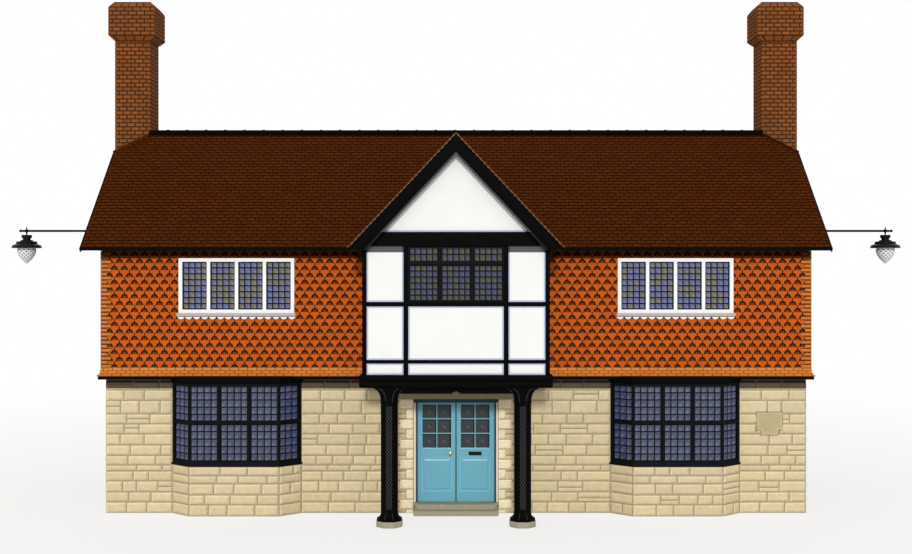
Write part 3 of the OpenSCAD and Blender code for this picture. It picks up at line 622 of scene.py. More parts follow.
def hanging_clay(tint, dark, tiles):
    """Clay hung dry on battens: clean orange faces, browner with painted shade where the course above
    shades them, a painted shadow round each cove and painted shade under the eaves.
    """
    clay = Surface("sanded_clay_hanging_tile", 0.8, gleam=0.05)
    clay.mottled(tint, 0.07, 0.07, 0.006, 0.0012)
    side, up = clay.own_sizes()
    half, gauge = tiles.hung_pitch / 2, tiles.hung_gauge
    joint = clay.edge_mask(side, half - 0.013, half - 0.010)
    above = clay.edge_mask(up, tiles.cove_high - 0.006, tiles.cove_high)
    joint = clay.add("ShaderNodeMath", (joint, above), operation="MULTIPLY")
    clay.masked(joint, shade(dark, 0.5))
    # Painted shade: the part of each tile seen through the coves of the course above is browner
    arch = clay.edge_mask(up, gauge - 0.004, gauge - 0.001)
    clay.masked(arch, dark)
    # Painted shadow: a dark rim round the top of each cove, as cast by the edge of the tile above
    high = clay.add("ShaderNodeMath", (up, gauge), operation="SUBTRACT")
    rim = clay.edge_mask(clay.round_corner(side, high, tiles.cove_wide, tiles.cove_high), 0.28, 0.4)
    rim = clay.add("ShaderNodeMath", (rim, arch), operation="MULTIPLY")
    clay.masked(rim, linear("#361a08"))
    # The cut edge of the cove lies on a quarter of an ellipse round the tile's corner, and a painted shadow
    # darkens a band along it
    corner = clay.add("ShaderNodeMath", (half, side), operation="SUBTRACT")
    around = clay.round_corner(corner, up, tiles.cove_wide, tiles.cove_high)
    cut = clay.add("ShaderNodeMath", (around, 1.12), operation="LESS_THAN")
    clay.masked(cut, linear("#361a08"))
    # Painted shade under the eaves
    return clay.sheltered(*EAVES_SHADE).material


def pale_clay(name, tint):
    """Pale clay from the same kiln as the hung tiles, sanded and evenly fired."""
    return Surface(name, 0.84, gleam=0.05).mottled(tint, 0.06, 0.07, 0.006, 0.0012)


def corner_clay(tiles):
    """Pale sanded clay whose cut edges and joints have gone dark with soot."""
    clay = pale_clay("pale_clay_corner_tile", tiles.skirt_colour)
    height = clay.add("ShaderNodeMath", (clay.z, SKIRT_Z[1]), operation="SUBTRACT")
    height = clay.add("ShaderNodeMath", (height, CORNER_COURSE), operation="DIVIDE")
    within = clay.add("ShaderNodeMath", (height,), operation="FRACT")
    clay.masked(clay.edge_mask(clay.away(within, 0.5), 0.30, 0.34), linear("#53331c"))
    # Painted shade under the eaves
    return clay.sheltered(*EAVES_SHADE).material


def skirt_course_clay(tiles):
    """The same pale clay, darker along each tile's joints, and along its tail with painted shade."""
    clay = pale_clay("pale_clay_skirt_course", shade(tiles.skirt_colour, 1.2))
    side, up = clay.own_sizes()
    joint = clay.edge_mask(side, tiles.skirt_pitch / 2 - 0.011, tiles.skirt_pitch / 2 - 0.008)
    tail = clay.add("ShaderNodeMath", (0.0, up), operation="SUBTRACT")
    tail = clay.edge_mask(tail, -0.016, -0.012)
    joints_and_tail_shade = clay.add("ShaderNodeMath", (joint, tail), operation="MAXIMUM")
    return clay.masked(joints_and_tail_shade, linear("#9a5e2c")).material


def cut_clay(tint, edge, half_wide):
    """The verge's tiles: dark sanded faces, and cut sides that show the paler clay inside."""
    clay = Surface("cut_edge_roof_tile", 0.86, gleam=0.05).mottled(tint, 0.09, 0.12, 0.006, 0.0015)
    side = clay.own_sizes()[0]
    return clay.masked(clay.edge_mask(side, half_wide - 0.004, half_wide - 0.003), edge).material


def rubble_stone(tint):
    """Squared limestone, pitched by hand: chalky, with faint rusty beds and a fine open grain."""
    stone = Surface("squared_limestone", 0.92, gleam=0.2)
    # Painted highlight on each stone's top and left margins, painted shade on its foot and right
    stone.mottled(tint, 0.12, 0.05, 0.009, 0.003, (0.92, 1.04)).drafted(1.13, 0.8)
    # Painted shade under the skirt, darkest close under it
    return stone.sheltered(SKIRT_SHADE, 0.13).sheltered(2.6, 0.12).material


def dressed_stone(name, tint):
    """Stone rubbed smooth and weathered in patches a hand wide."""
    stone = Surface(name, 0.85, gleam=0.2).mottled(tint, 0.05, 0.05, 0.007, 0.002)
    spots = stone.add("ShaderNodeTexNoise", {"Vector": stone.place, "Scale": 1 / 0.035, "Detail": 2.0,
        "Roughness": 0.5})
    stone.masked(stone.edge_mask(spots, 0.54, 0.66), shade(tint, 0.86))
    # Painted highlight on each stone's top and left, painted shade on its foot and right
    return stone.drafted(1.1, 0.84).material


def bedding_mortar():
    """The mortar that dressed stones are bedded and pointed in."""
    return dressed_stone("bedding_mortar", linear("#a69b7e"))


def mortar_and_plaster(name, outside, inside, half_x, half_y, shade_above=0.0):
    """Lime mortar where a wall looks out, and trowelled plaster where it looks into the rooms."""
    mortar = Surface(name, 0.93, gleam=0.15).mottled(outside, 0.04, 0.0, 0.005, 0.002)
    masks = []
    for part, half in ((mortar.x, half_x), (mortar.y, half_y)):
        masks.append(mortar.add("ShaderNodeMath", (mortar.away(part), half), operation="LESS_THAN"))
    indoors = mortar.add("ShaderNodeMath", masks, operation="MULTIPLY")
    # Painted shade above a level, under an overhang
    if shade_above:
        mortar.sheltered(shade_above, 0.2)
    return mortar.masked(indoors, inside).material


def stock_brick(tint):
    """Stock brick, burnt unevenly and sooty: each one its own brown."""
    return Surface("burnt_stock_brick", 0.88, gleam=0.05).mottled(tint, 0.05, 0.13, 0.006, 0.002).material


def brushed(wood, along, scale, detail, roughness=0.5):
    """Streaks of brush marks or grain that run along one way, about 50 mm apart across it."""
    stretch = [1.2 if axis == along else 22 for axis in "XYZ"]
    laid = wood.add("ShaderNodeMapping", {"Vector": wood.place, "Scale": stretch})
    return wood.add("ShaderNodeTexNoise", {"Vector": laid, "Scale": scale, "Detail": detail,
        "Roughness": roughness})


def painted_wood(name, tint, roughness, grain_along, gleam=0.4, second=None, where=None):
    """Paint on wood: an even coat whose brush marks and grain run one way and catch the light.

    A second colour is painted where the mask that where makes is 1.
    """
    paint = Surface(name, roughness, gleam=gleam)
    streaks = brushed(paint, grain_along, 3.0, 4.0, 0.6)
    worn = paint.add("ShaderNodeMapRange", (streaks, 0.3, 0.75, 0.0, 1.0))
    paint.colour = paint.add("ShaderNodeMix", {0: worn, 6: shade(tint, 0.94), 7: shade(tint, 1.06)},
        data_type="RGBA")
    gloss = paint.add("ShaderNodeMapRange", (streaks, 0.3, 0.7, roughness - 0.08, roughness + 0.08))
    bump = paint.add("ShaderNodeBump", {"Strength": 0.5, "Distance": 0.0008, "Height": streaks})
    feed(paint.shader, {"Base Color": paint.colour, "Roughness": gloss, "Normal": bump})
    if where:
        paint.masked(where(paint), second)
    return paint.material


def tarred_oak(wood, way):
    """Oak under old black paint, with its grain lying, upright or inward."""
    grain = {"lying": "X", "upright": "Z", "inward": "Y"}[way]
    return painted_wood(f"tarred_oak_{way}", wood.timber_colour, 0.65, grain, 0.04)


def boards(name, tint, board):
    """Planed boards with a dark joint between them and grain along their length, inwards."""
    wood = Surface(name, 0.6)
    grain = brushed(wood, "Y", 2.5, 5.0)
    wood.colour = wood.add("ShaderNodeMix", {0: grain, 6: shade(tint, 0.75), 7: shade(tint, 1.2)},
        data_type="RGBA")
    count = wood.add("ShaderNodeMath", (wood.x, board), operation="DIVIDE")
    within = wood.add("ShaderNodeMath", (count,), operation="FRACT")
    joint = wood.add("ShaderNodeMath", (within, 0.025), operation="LESS_THAN")
    bump = wood.add("ShaderNodeBump", {"Strength": 0.4, "Distance": 0.001, "Height": grain})
    feed(wood.shader, {"Normal": bump})
    return wood.masked(joint, shade(tint, 0.25)).material


def below_tie_beam(paint):
    """1 on the ends of the gable's mouldings, which are painted with the boards beside them."""
    return paint.edge_mask(paint.z, TIE_BEAM_TOP + 0.004, TIE_BEAM_TOP - 0.004)


def door_rebate(paint):
    """1 on the rebate and the head that the doors shut against, which take a dark painted shade."""
    inner = paint.edge_mask(paint.away(paint.x), 0.808, 0.804)
    head = paint.edge_mask(paint.z, 2.196, 2.2)
    return paint.add("ShaderNodeMath", (inner, head), operation="MAXIMUM")


def meeting_stiles(paint):
    """1 along the narrow gap where the two leaves meet, which takes a dark painted shade."""
    return paint.edge_mask(paint.away(paint.x), 0.013, 0.010)


def timber_margins(wash):
    """1 on a narrow band of plaster beside each post of the chamber's front and each rail, where a cool
    shade is painted.
    """
    bands = []
    for across, edges in ((wash.away(wash.x), POST_EDGES), (wash.z, RAIL_EDGES)):
        near = 1.0
        for edge in edges:
            near = wash.add("ShaderNodeMath", (wash.away(across, edge), near), operation="MINIMUM")
        bands.append(wash.edge_mask(near, 0.036, 0.026))
    gable = wash.edge_mask(wash.z, TIE_BEAM_TOP - 0.01, TIE_BEAM_TOP)
    bands[0] = wash.add("ShaderNodeMath", (bands[0], gable), operation="SUBTRACT")
    return wash.add("ShaderNodeMath", bands, operation="MAXIMUM")


def lime_plaster(tint):
    """Lime plaster laid with a wood float and limewashed: white, with long shallow waves, and a
    cool painted shade along the timbers."""
    wash = Surface("limewashed_plaster", 0.9, gleam=0.2)
    wash.mottled(tint, 0.5, 0.0, 0.035, 0.003, (0.97, 1.0))
    wash.masked(timber_margins(wash), linear("#bfc7de"))
    # Painted shadow: a dark band on the panels just under the tie beam
    gone, soot = wash.edge_mask(wash.z, 5.35, 5.37), wash.edge_mask(wash.z, 5.19, 5.21)
    soot = wash.add("ShaderNodeMath", (soot, gone), operation="SUBTRACT")
    return wash.masked(soot, None, 0.12).material


def pane_glass(name, first, second, patch, gain, shade_above=0.0):
    """Drawn window glass over a dark room: each pane leans its own way and takes its own tint.

    patch is left, right and top of the part of each pane that shows a paler reflection.
    """
    glass = Surface(name, 0.09, gleam=0.35)
    which = glass.add("ShaderNodeMath", (glass.tone, 0.45), operation="GREATER_THAN")
    base = glass.add("ShaderNodeMix", {0: which, 6: linear(first), 7: linear(second)}, data_type="RGBA")
    across, up = glass.own_map()
    left, right, top = [glass.edge_mask(source, edge - 0.04, edge + 0.04) for source,
        edge in zip((across, across, up), patch)]
    within = glass.add("ShaderNodeMath", (left, right), operation="SUBTRACT")
    below = glass.add("ShaderNodeMath", (1.0, top), operation="SUBTRACT")
    corner = glass.add("ShaderNodeMath", (within, below), operation="MULTIPLY")
    gains = glass.add("ShaderNodeMath", (corner, gain - 1, 1.0), operation="MULTIPLY_ADD")
    glass.colour = glass.add("ShaderNodeVectorMath", {0: base, "Scale": gains}, operation="SCALE")
    ripple = glass.add("ShaderNodeTexNoise", {"Vector": glass.place, "Scale": 9.0, "Detail": 1.0})
    bump = glass.add("ShaderNodeBump", {"Strength": 0.25, "Distance": 0.003, "Height": ripple})
    feed(glass.shader, {"Base Color": glass.colour, "Normal": bump})
    # Painted shade over the top panes, under the head
    if shade_above:
        glass.sheltered(shade_above, 0.35)
    return glass.material


def door_glass():
    """Sheet glass over a dark hall: painted shade nearly black at the top and right, and one small painted
    glint.
    """
    glass = Surface("sheet_glass_in_the_door", 0.06, gleam=0.3)
    across, up = glass.own_map()
    edges = (glass.edge_mask(across, 0.84, 0.88), glass.edge_mask(up, 0.86, 0.9))
    dim = glass.add("ShaderNodeMath", edges, operation="MAXIMUM")
    glass.colour = glass.add("ShaderNodeMix", {0: dim, 6: linear("#3b3f43"), 7: linear("#1b1e20")},
        data_type="RGBA")
    slope = glass.add("ShaderNodeMath", (across, up), operation="ADD")
    near = []
    for source, middle, reach in ((slope, 0.95, 0.035), (across, 0.5, 0.1)):
        off = glass.away(source, middle)
        near.append(glass.add("ShaderNodeMath", (off, reach), operation="LESS_THAN"))
    glint = glass.add("ShaderNodeMath", near, operation="MULTIPLY")
    return glass.masked(glint, linear("#6d7175")).material


def lamp_glass():
    """Pressed glass, greyish green, whose diamond facets meet in bright lines of painted highlight."""
    glass = Surface("pressed_lamp_glass", 0.2, gleam=0.4)
    glass.mottled(linear("#9fa19d"), 0.05, 0.06, 0.01, 0.0005)
    line = glass.edge_mask(glass.own_map()[0], 0.3, 0.4)
    line = glass.add("ShaderNodeMath", (1.0, line), operation="SUBTRACT")
    return glass.masked(line, linear("#fbfbfb")).material


def old_lead(tint):
    """Milled lead cames, weathered to a dull dark grey."""
    lead = Surface("weathered_lead_came", 0.6, 0.4, gleam=0.1)
    return lead.mottled(tint, 0.03, 0.0, 0.004, 0.0004).material


def black_iron(name="gloss_black_iron", tint=linear("#080808")):
    """Iron under gloss paint, with the soft pitting of a sand casting."""
    return Surface(name, 0.35, gleam=0.12).mottled(tint, 0.08, 0.0, 0.004, 0.0006).material


def polished_brass():
    """Turned brass, rubbed bright by hands."""
    return Surface("turned_brass", 0.24, 1.0).mottled(linear("#d8b25a"), 0.01, 0.0, 0.002, 0.0001).material


def banded_paint(low_tint, high_tint, level):
    """Gloss paint, white on the scallops, and greyer with painted shade on the strip and sill that carry
    them.
    """
    paint = Surface("white_painted_apron", 0.45)
    paint.mottled(low_tint, 0.1, 0.0, 0.02, 0.0005, (0.97, 1.0))
    return paint.masked(paint.edge_mask(paint.z, level - 0.004, level + 0.004), high_tint).material


def worn_arris(tint, name="rubbed_trellis_paint"):
    """Grey paint over black on raised edges: the trellis's grey, and a painted highlight on the beads along
    the capitals.
    """
    return Surface(name, 0.55, gleam=0.1).mottled(tint, 0.04, 0.1, 0.01, 0.0004).material


# Roofs


def lapped_tile(name, wide, gauge, thick, lap=1.4, camber=0.003):
    """One plain tile, tail at y 0, leaning so that its tail lies on the tile below."""
    long = gauge * lap
    lift = thick * long / gauge + 0.0008
    points = []
    for y in (0, long):
        under = lift * (1 - y / long) + 0.001
        for high in (0, thick):
            for i, x in enumerate((-wide / 2, 0, wide / 2)):
                points.append((x, y, under + high + (camber if i == 1 and high else 0)))
    faces = []
    for i in (0, 1):
        faces += [(3 + i, 4 + i, 10 + i, 9 + i), (1 + i, i, 6 + i, 7 + i)]
        faces += [(i, 1 + i, 4 + i, 3 + i), (7 + i, 6 + i, 9 + i, 10 + i)]
    return solid(name, points, faces + [(2, 8, 11, 5), (6, 0, 3, 9)])


def mirrored(outline):
    """An outline mirrored left to right."""
    return [(-x, y) for x, y in reversed(outline)]


class HOUSE_OT_roof_tiles(bpy.types.Operator):
    """Lays plain clay tiles on both main slopes, the half hips and the chamber's roof"""

    bl_idname = "house.roof_tiles"
    bl_label = "Roof Tiles"

    def execute(self, context):
        tiles = self.tiles = context.scene.house_tiles
        self.clay = roof_clay(tiles.roof_colour, tiles.roof_pitch / 2)
        self.tile = lapped_tile("roof_tile", tiles.roof_pitch - 0.005, tiles.roof_gauge, tiles.roof_thick)
        self.run = VERGE_X - 0.001
        self.main_slopes()
        self.gable()
        self.half_hips()
        return {"FINISHED"}

    def lay(self, columns, rows, origin, across, rise, outline, seed):
        """A field of lapped tiles laid on a slope and cut to an outline in plan."""
        field = grown(rows_tree, self.tile.copy(), Columns=columns, Rows=rows,
            Across=(self.tiles.roof_pitch, 0, 0), Upward=(0, self.tiles.roof_gauge, 0), Set_off=0.5,
            Unevenness=0.006, Seed=seed, Material=self.clay)
        field.transform(placing(origin, across, rise))
        return clipped(field, plan_planes(outline))

    def main_slopes(self):
        """The two slopes of the house, cut round the chamber's roof, the half hips and the stacks."""
        run, eave = self.run, -EAVE[0] - 0.006
        columns = math.ceil(2 * run / self.tiles.roof_pitch) + 2
        rows = math.ceil(EAVE[0] / math.cos(PITCH) / self.tiles.roof_gauge) + 1
        rise = Vector((0, math.cos(PITCH), math.sin(PITCH)))
        slope = [(-run, eave), (-GABLE_HALF, eave), (0, VALLEY_Y), (0, 0), (-RIDGE_HALF, 0)]
        slope += [(-run, -HIP_FOOT_Y)]
        for side, outline in (("left", slope), ("right", mirrored(slope))):
            mesh = self.lay(columns, rows, (-run, -EAVE[0], EAVE[1]), ALONG_X, rise, outline, 11)
            piece(f"roof_tiles_front_{side}", mesh, self.clay)
        rise.y = -rise.y
        parts = []
        inner = STACK_X[0]
        for left, right, top in ((-inner, inner, 0), (-run, -inner, STACK_Y[1]), (inner, run, STACK_Y[1])):
            outline = [(left, top), (right, top), (right, -eave), (left, -eave)]
            parts.append(self.lay(columns, rows, (run, EAVE[0], EAVE[1]), -ALONG_X, rise, outline, 12))
        piece("roof_tiles_back", joined(parts, "back"), self.clay)

    def gable(self):
        """The two slopes over the chamber, whose front edge covers the bargeboards."""
        tiles = self.tiles
        reach = GABLE_HALF + 0.02
        rows = math.ceil(GABLE_HALF / math.cos(GABLE_PITCH) / tiles.roof_gauge) + 2
        columns = math.ceil(-GABLE_Y / tiles.roof_pitch) + 2
        cut, verge = GABLE_Y + 0.13, GABLE_Y - 0.02
        slope = [(0, cut), (reach, cut), (reach, -EAVE[0]), (0, VALLEY_Y)]
        edge = cut_clay(tiles.roof_colour, linear("#74503a"), (cut - verge) / 2)
        thick = tiles.roof_thick + 0.004
        edge_tile = lapped_tile("verge_tile", cut - verge - 0.004, tiles.roof_gauge, thick)
        foot = EAVE[1] - 0.02 * math.tan(GABLE_PITCH)
        for side, sign, outline in (("right", 1, slope), ("left", -1, mirrored(slope))):
            across = ALONG_Y * sign
            rise = Vector((-sign * math.cos(GABLE_PITCH), 0, math.sin(GABLE_PITCH)))
            start = (sign * reach, GABLE_Y if sign > 0 else VALLEY_Y, foot)
            mesh = self.lay(columns, rows, start, across, rise, outline, 13)
            piece(f"roof_tiles_gable_{side}", mesh, self.clay)
            column = grown(rows_tree, edge_tile.copy(), Rows=rows, Upward=(0, tiles.roof_gauge, 0),
                Unevenness=0.003, Seed=15, Material=edge)
            column.transform(placing((sign * reach, (cut + verge) / 2, foot), across, rise))
            column = clipped(column, [((0, 0, 0), ALONG_X * -sign)])
            piece(f"verge_tiles_gable_{side}", column, edge)

    def half_hips(self):
        """The small slopes that cut off the ridge's ends, in front of the stacks."""
        run = self.run
        fall = HIP[1] / HIP[0]
        lean = math.atan(fall)
        slope = [(RIDGE_HALF, 0), (run, -(run - RIDGE_HALF) * fall / math.tan(PITCH)), (run, 0)]
        parts = []
        for sign, outline in ((1, slope), (-1, mirrored(slope))):
            start = (sign * run, -sign * 0.7, RIDGE_Z - (run - RIDGE_HALF) * fall)
            rise = Vector((-sign * math.cos(lean), 0, math.sin(lean)))
            parts.append(self.lay(8, 11, start, ALONG_Y * sign, rise, outline, 14))
        piece("roof_tiles_half_hips", joined(parts, "hips"), self.clay)


def half_round(name, radius, long, thick, collar):
    """A half-round ridge tile along X, with a thicker collar over the end of the next."""
    steps = 12
    wide = steps + 1
    rings = [(0.0, radius), (long - 0.05, radius), (long - 0.05, radius + collar)]
    rings += [(long, radius + collar), (0.0, radius - thick), (long, radius - thick)]
    arc = [math.pi * k / steps for k in range(wide)]
    points = [(x, r * math.cos(a), r * math.sin(a)) for x, r in rings for a in arc]
    faces = []
    for low in range(0, 3 * wide, wide):
        faces += [(low + k, low + k + wide, low + k + wide + 1, low + k + 1) for k in range(steps)]
    base, last, far = 4 * wide, 5 * wide, 3 * wide
    for k in range(steps):
        faces.append((base + k, base + k + 1, last + k + 1, last + k))
        faces.append((k, k + 1, base + k + 1, base + k))
        faces.append((far + k + 1, far + k, last + k, last + k + 1))
    edge = [0, wide, 2 * wide, far, last, base]
    faces += [edge, [steps + k for k in reversed(edge)]]
    return joined([solid(name, points, faces)], name, outward=True)


class HOUSE_OT_ridge_tiles(bpy.types.Operator):
    """Beds half-round tiles along both ridges and down the half hips"""

    bl_idname = "house.ridge_tiles"
    bl_label = "Ridge Tiles"

    def execute(self, context):
        tiles = context.scene.house_tiles
        dark = roof_clay(tiles.ridge_colour, UNJOINTED, "dark_clay_ridge_tile")
        top, gable_top = RIDGE_Z - 0.012, GABLE_RIDGE_Z - 0.01
        ridges = [self.bedded((-STACK_X[0], 0, top), (STACK_X[0], 0, top), 0.112, dark),
            self.bedded((0, VALLEY_Y - 0.02, gable_top), (0, GABLE_Y, gable_top), 0.075, dark)]
        mesh = joined(ridges, "ridges")
        rounded_shading(mesh, 30)
        piece("ridge_tiles", mesh, dark, stands_for=("ridge_caps",))
        brown = roof_clay(shade(tiles.roof_colour, 0.8), UNJOINTED, "brown_clay_hip_tile")
        fall = (VERGE_X - RIDGE_HALF) * HIP[1] / HIP[0]
        parts = []
        for sign in (-1, 1):
            head = (sign * (RIDGE_HALF - 0.02), 0.0, RIDGE_Z - 0.01)
            foot = (sign * VERGE_X, -fall / math.tan(PITCH), RIDGE_Z - fall - 0.005)
            wall = ((sign * STACK_X[0], 0, 0), ALONG_X * -sign)
            parts.append(clipped(self.bedded(head, foot, 0.052, brown), [((0, 0, 0), ALONG_Y), wall]))
        mesh = joined(parts, "hips")
        rounded_shading(mesh, 30)
        piece("hip_tiles", mesh, brown)
        return {"FINISHED"}

    def bedded(self, start, end, radius, clay):
        """A row of half-round tiles from one point to another."""
        way = Vector(end) - Vector(start)
        count = max(2, round(way.length / 0.42))
        step = way.length / count
        row = grown(rows_tree, half_round("ridge", radius, step + 0.0015, 0.016, 0.009), Columns=count,
            Across=(step, 0, 0), Unevenness=0.002, Seed=21, Material=clay)
        along = way.normalized()
        row.transform(placing(start, along, UP.cross(along).normalized()))
        return row


class HOUSE_OT_verge_mouldings(bpy.types.Operator):
    """Nails a planed moulding to each verge, level with the tiles' tops"""

    bl_idname = "house.verge_mouldings"
    bl_label = "Verge Mouldings"

    def execute(self, context):
        parts = []
        for sign in (-1, 1):
            for foot, head in ((-EAVE[0], -HIP_FOOT_Y), (EAVE[0], STACK_Y[1])):
                outline = []
                for y, lift in ((foot, -0.075), (head, -0.075), (head, 0.032), (foot, 0.032)):
                    outline.append((y, RIDGE_Z - abs(y) * math.tan(PITCH) + lift))
                points, faces = drawn(outline, 0.0, 0.03)
                moved = [(sign * (VERGE_X + 0.0005 + out), y, z) for y, z, out in points]
                parts.append(solid("moulding", moved, faces))
        whole = opened(joined(parts, "mouldings", outward=True))
        round_edges(whole, 0.5, 0.008)
        mesh = closed(whole, "mouldings")
        rounded_shading(mesh, 40)
        piece("verge_mouldings", mesh, tarred_oak(context.scene.house_joinery, "inward"))
        return {"FINISHED"}


# Hung walls


def coved_tile(tiles):
    """One hanging tile whose lower corners are coved to a narrow tail."""
    middle, thick = tiles.hung_pitch / 2, tiles.hung_thick
    long = tiles.hung_gauge + tiles.cove_high + 0.016
    right, steps = [], 5
    for k in range(steps + 1):
        angle = math.radians(87.5) * k / steps
        right.append((middle - tiles.cove_wide * math.cos(angle), tiles.cove_high * math.sin(angle)))
    half = middle - 0.003
    right[-1:] = [(half, right[-1][1]), (half, long)]
    points, faces = drawn(right + mirrored(right), 0, thick)
    lift = thick * long / tiles.hung_gauge + 0.0005
    return solid("hung_tile", [(x, y, z + lift * (1 - y / long) - 0.008) for x, y, z in points], faces)


class HOUSE_OT_hung_tiles(bpy.types.Operator):
    """Hangs coved clay tiles on the upper walls, cut round the windows and under the roof"""

    bl_idname = "house.hung_tiles"
    bl_label = "Hung Tiles"

    def execute(self, context):
        self.tiles = context.scene.house_tiles
        self.clay = hanging_clay(self.tiles.hung_colour, self.tiles.shade_colour, self.tiles)
        self.foot = ((0, 0, SKIRT_Z[1] - 0.004), -UP)
        self.long_walls()
        self.end_walls()
        return {"FINISHED"}

    def hang(self, origin, across, wide, high, seed, planes, window=None):
        """Rows of coved tiles from an origin on a wall, cut by planes and round a window.

        window is how far along the wall the window's middle stands, and the height of its foot.
        """
        pitch, gauge = self.tiles.hung_pitch, self.tiles.hung_gauge
        tile = coved_tile(self.tiles)
        per_tile = len(tile.vertices)
        field = grown(rows_tree, tile, Columns=math.ceil(wide / pitch) + 1,
            Rows=math.ceil(high / gauge) + 1, Across=(pitch, 0, 0), Upward=(0, gauge, 0), Set_off=-0.5,
            Unevenness=0.004, Seed=seed, Material=self.clay)
        if window:
            middle, foot = window
            hole = (middle - WINDOW_HALF, middle + WINDOW_HALF, foot - TAIL_Z, WINDOW_Z[1] - TAIL_Z)
            field = pierced(field, per_tile, hole)
        field.transform(placing(origin, across, UP))
        return clipped(field, planes)

    def long_walls(self):
        """The front on both sides of the chamber, and the back."""
        strip, high, pitch = HUNG_X - 0.1, SOFFIT_Z - TAIL_Z, self.tiles.hung_pitch
        ends = [((0, 0, SOFFIT_Z), UP), self.foot]
        # The tiles of each side start where the drawn ones do
        first, count = 6.712, 27
        parts = []
        for side, sign in SIDES:
            start = -first - 2 * pitch if sign < 0 else first - (count - 1) * pitch
            planes = [((sign * strip, 0, 0), ALONG_X * sign), ((sign * CHAMBER_X, 0, 0), ALONG_X * -sign)]
            window = (sign * BAY_X - start, WINDOW_Z[0] - 0.05)
            wide = count * pitch + 0.4
            mesh = self.hang((start, -HUNG_Y, TAIL_Z), ALONG_X, wide, high, 31, planes + ends, window)
            piece(f"hung_tiles_front_{side}", mesh, self.clay)
            start = 0.0 if sign < 0 else strip + 0.1
            planes = [((sign * strip, 0, 0), ALONG_X * sign), ((0, 0, 0), ALONG_X * -sign)]
            window = (start - sign * BAY_X, WINDOW_Z[0])
            parts.append(self.hang((start, HUNG_Y, TAIL_Z), -ALONG_X, 7.1, high, 32, planes + ends, window))
        piece("hung_tiles_back", joined(parts, "back"), self.clay)

    def end_walls(self):
        """The end walls on each side of the stacks, up to the roof."""
        under = RIDGE_Z - ROOF_T
        peak = under - (HUNG_X - RIDGE_HALF) * HIP[1] / HIP[0]
        roof = [((0, 0, under), Vector((0, way * math.sin(PITCH), math.cos(PITCH)))) for way in (1, -1)]
        strip = HUNG_Y - 0.1
        for side, sign in SIDES:
            parts = []
            for near, far in ((-strip, STACK_Y[0]), (STACK_Y[1], strip)):
                start = (sign * HUNG_X, near - 0.1 if sign > 0 else far + 0.1, TAIL_Z)
                planes = [((0, near, 0), -ALONG_Y), ((0, far, 0), ALONG_Y), self.foot, *roof]
                planes.append(((0, 0, peak), UP))
                parts.append(self.hang(start, ALONG_Y * sign, far - near + 0.3, peak - TAIL_Z, 33, planes))
            piece(f"hung_tiles_side_{side}", joined(parts, side), self.clay)


class HOUSE_OT_corner_tiles(bpy.types.Operator):
    """Sets long and short corner tiles by turns up the corners of the upper walls"""

    bl_idname = "house.corner_tiles"
    bl_label = "Corner Tiles"

    def execute(self, context):
        clay = corner_clay(context.scene.house_tiles)
        course, proud, sunk = CORNER_COURSE, 0.026, 0.004
        points, faces = [], []
        for row, (front, side) in enumerate(((0.18, 0.1), (0.1, 0.18))):
            outline = [(proud, proud), (-front, proud), (-front, -sunk), (-sunk, -sunk)]
            outline += [(-sunk, -side), (proud, -side)]
            more, sheets = drawn(outline, row * course + 0.0015, (row + 1) * course - 0.0015)
            faces += [[i + len(points) for i in sheet] for sheet in sheets]
            points += more
        rows = math.ceil((SOFFIT_Z - SKIRT_Z[1]) / course / 2) + 1
        parts = []
        for x, y in ((-1, -1), (1, -1), (1, 1), (-1, 1)):
            pair = solid("corner", points, faces)
            column = grown(rows_tree, pair, Rows=rows, Upward=(0, 0, 2 * course), Seed=41, Material=clay)
            flip = Matrix.Diagonal((x, y, 1, 1))
            column.transform(Matrix.Translation((x * HUNG_X, y * HUNG_Y, SKIRT_Z[1])) @ flip)
            if x * y < 0:
                column.flip_normals()
            parts.append(clipped(column, [((0, 0, SOFFIT_Z), UP)]))
        piece("corner_tiles", joined(parts, "corners", outward=True), clay)
        return {"FINISHED"}


class HOUSE_OT_skirt_tiles(bpy.types.Operator):
    """Lays three courses of tiles on the flared skirt between the storeys"""

    bl_idname = "house.skirt_tiles"
    bl_label = "Skirt Tiles"

    def execute(self, context):
        tiles = context.scene.house_tiles
        clay = skirt_course_clay(tiles)
        pitch = tiles.skirt_pitch
        high = SKIRT_Z[1] - 2.733
        profile = []
        for k in range(4):
            angle = math.acos(1 - k / 3)
            out = SKIRT_OUT[1] + (SKIRT_OUT[0] - SKIRT_OUT[1]) * (1 - math.sin(angle))
            profile.append((out, SKIRT_Z[1] - high * math.cos(angle)))
        parts = []
        for x, y in ((0, -1), (0, 1), (1, 0), (-1, 0)):
            out_way = Vector((x, y, 0))
            across = UP.cross(out_way)
            along = ALONG_Y if x else ALONG_X
            wall, half = (WALL_X, WALL_Y + 0.3) if x else (WALL_Y, WALL_X + 0.3)
            spans = [(-half, half)]
            if y < 0:
                spans = [(-half, -CHAMBER_X), (CHAMBER_X, half)]
            if x:
                spans = [(-half, STACK_Y[0]), (STACK_Y[1], half)]
            corners = [(x, -1), (x, 1)] if x else [(-1, y), (1, y)]
            turn = (-1 if x else 1) / math.sqrt(2)
            mitres = [((a * WALL_X, b * WALL_Y, 0), (a * turn, -b * turn, 0)) for a, b in corners]
            for k, (low, top) in enumerate(zip(profile, profile[1:])):
                rise = out_way * (top[0] - low[0]) + UP * (top[1] - low[1])
                tile = lapped_tile("skirt", pitch - 0.005, rise.length, 0.011, 1.25, 0.0015)
                start = out_way * (wall + low[0] - 0.006) + UP * low[1] - across * (k % 2) * pitch / 2
                for near, far in spans:
                    row = grown(rows_tree, tile.copy(), Columns=math.ceil((far - near) / pitch) + 2,
                        Across=(pitch, 0, 0), Unevenness=0.003, Seed=51 + k, Material=clay)
                    begin = along * (near if across.dot(along) > 0 else far)
                    row.transform(placing(start + begin, across, rise.normalized()))
                    parts.append(clipped(row, [(along * near, -along), (along * far, along), *mitres]))
        piece("skirt_tiles", joined(parts, "skirt"), clay)
        return {"FINISHED"}


# Stone and brick


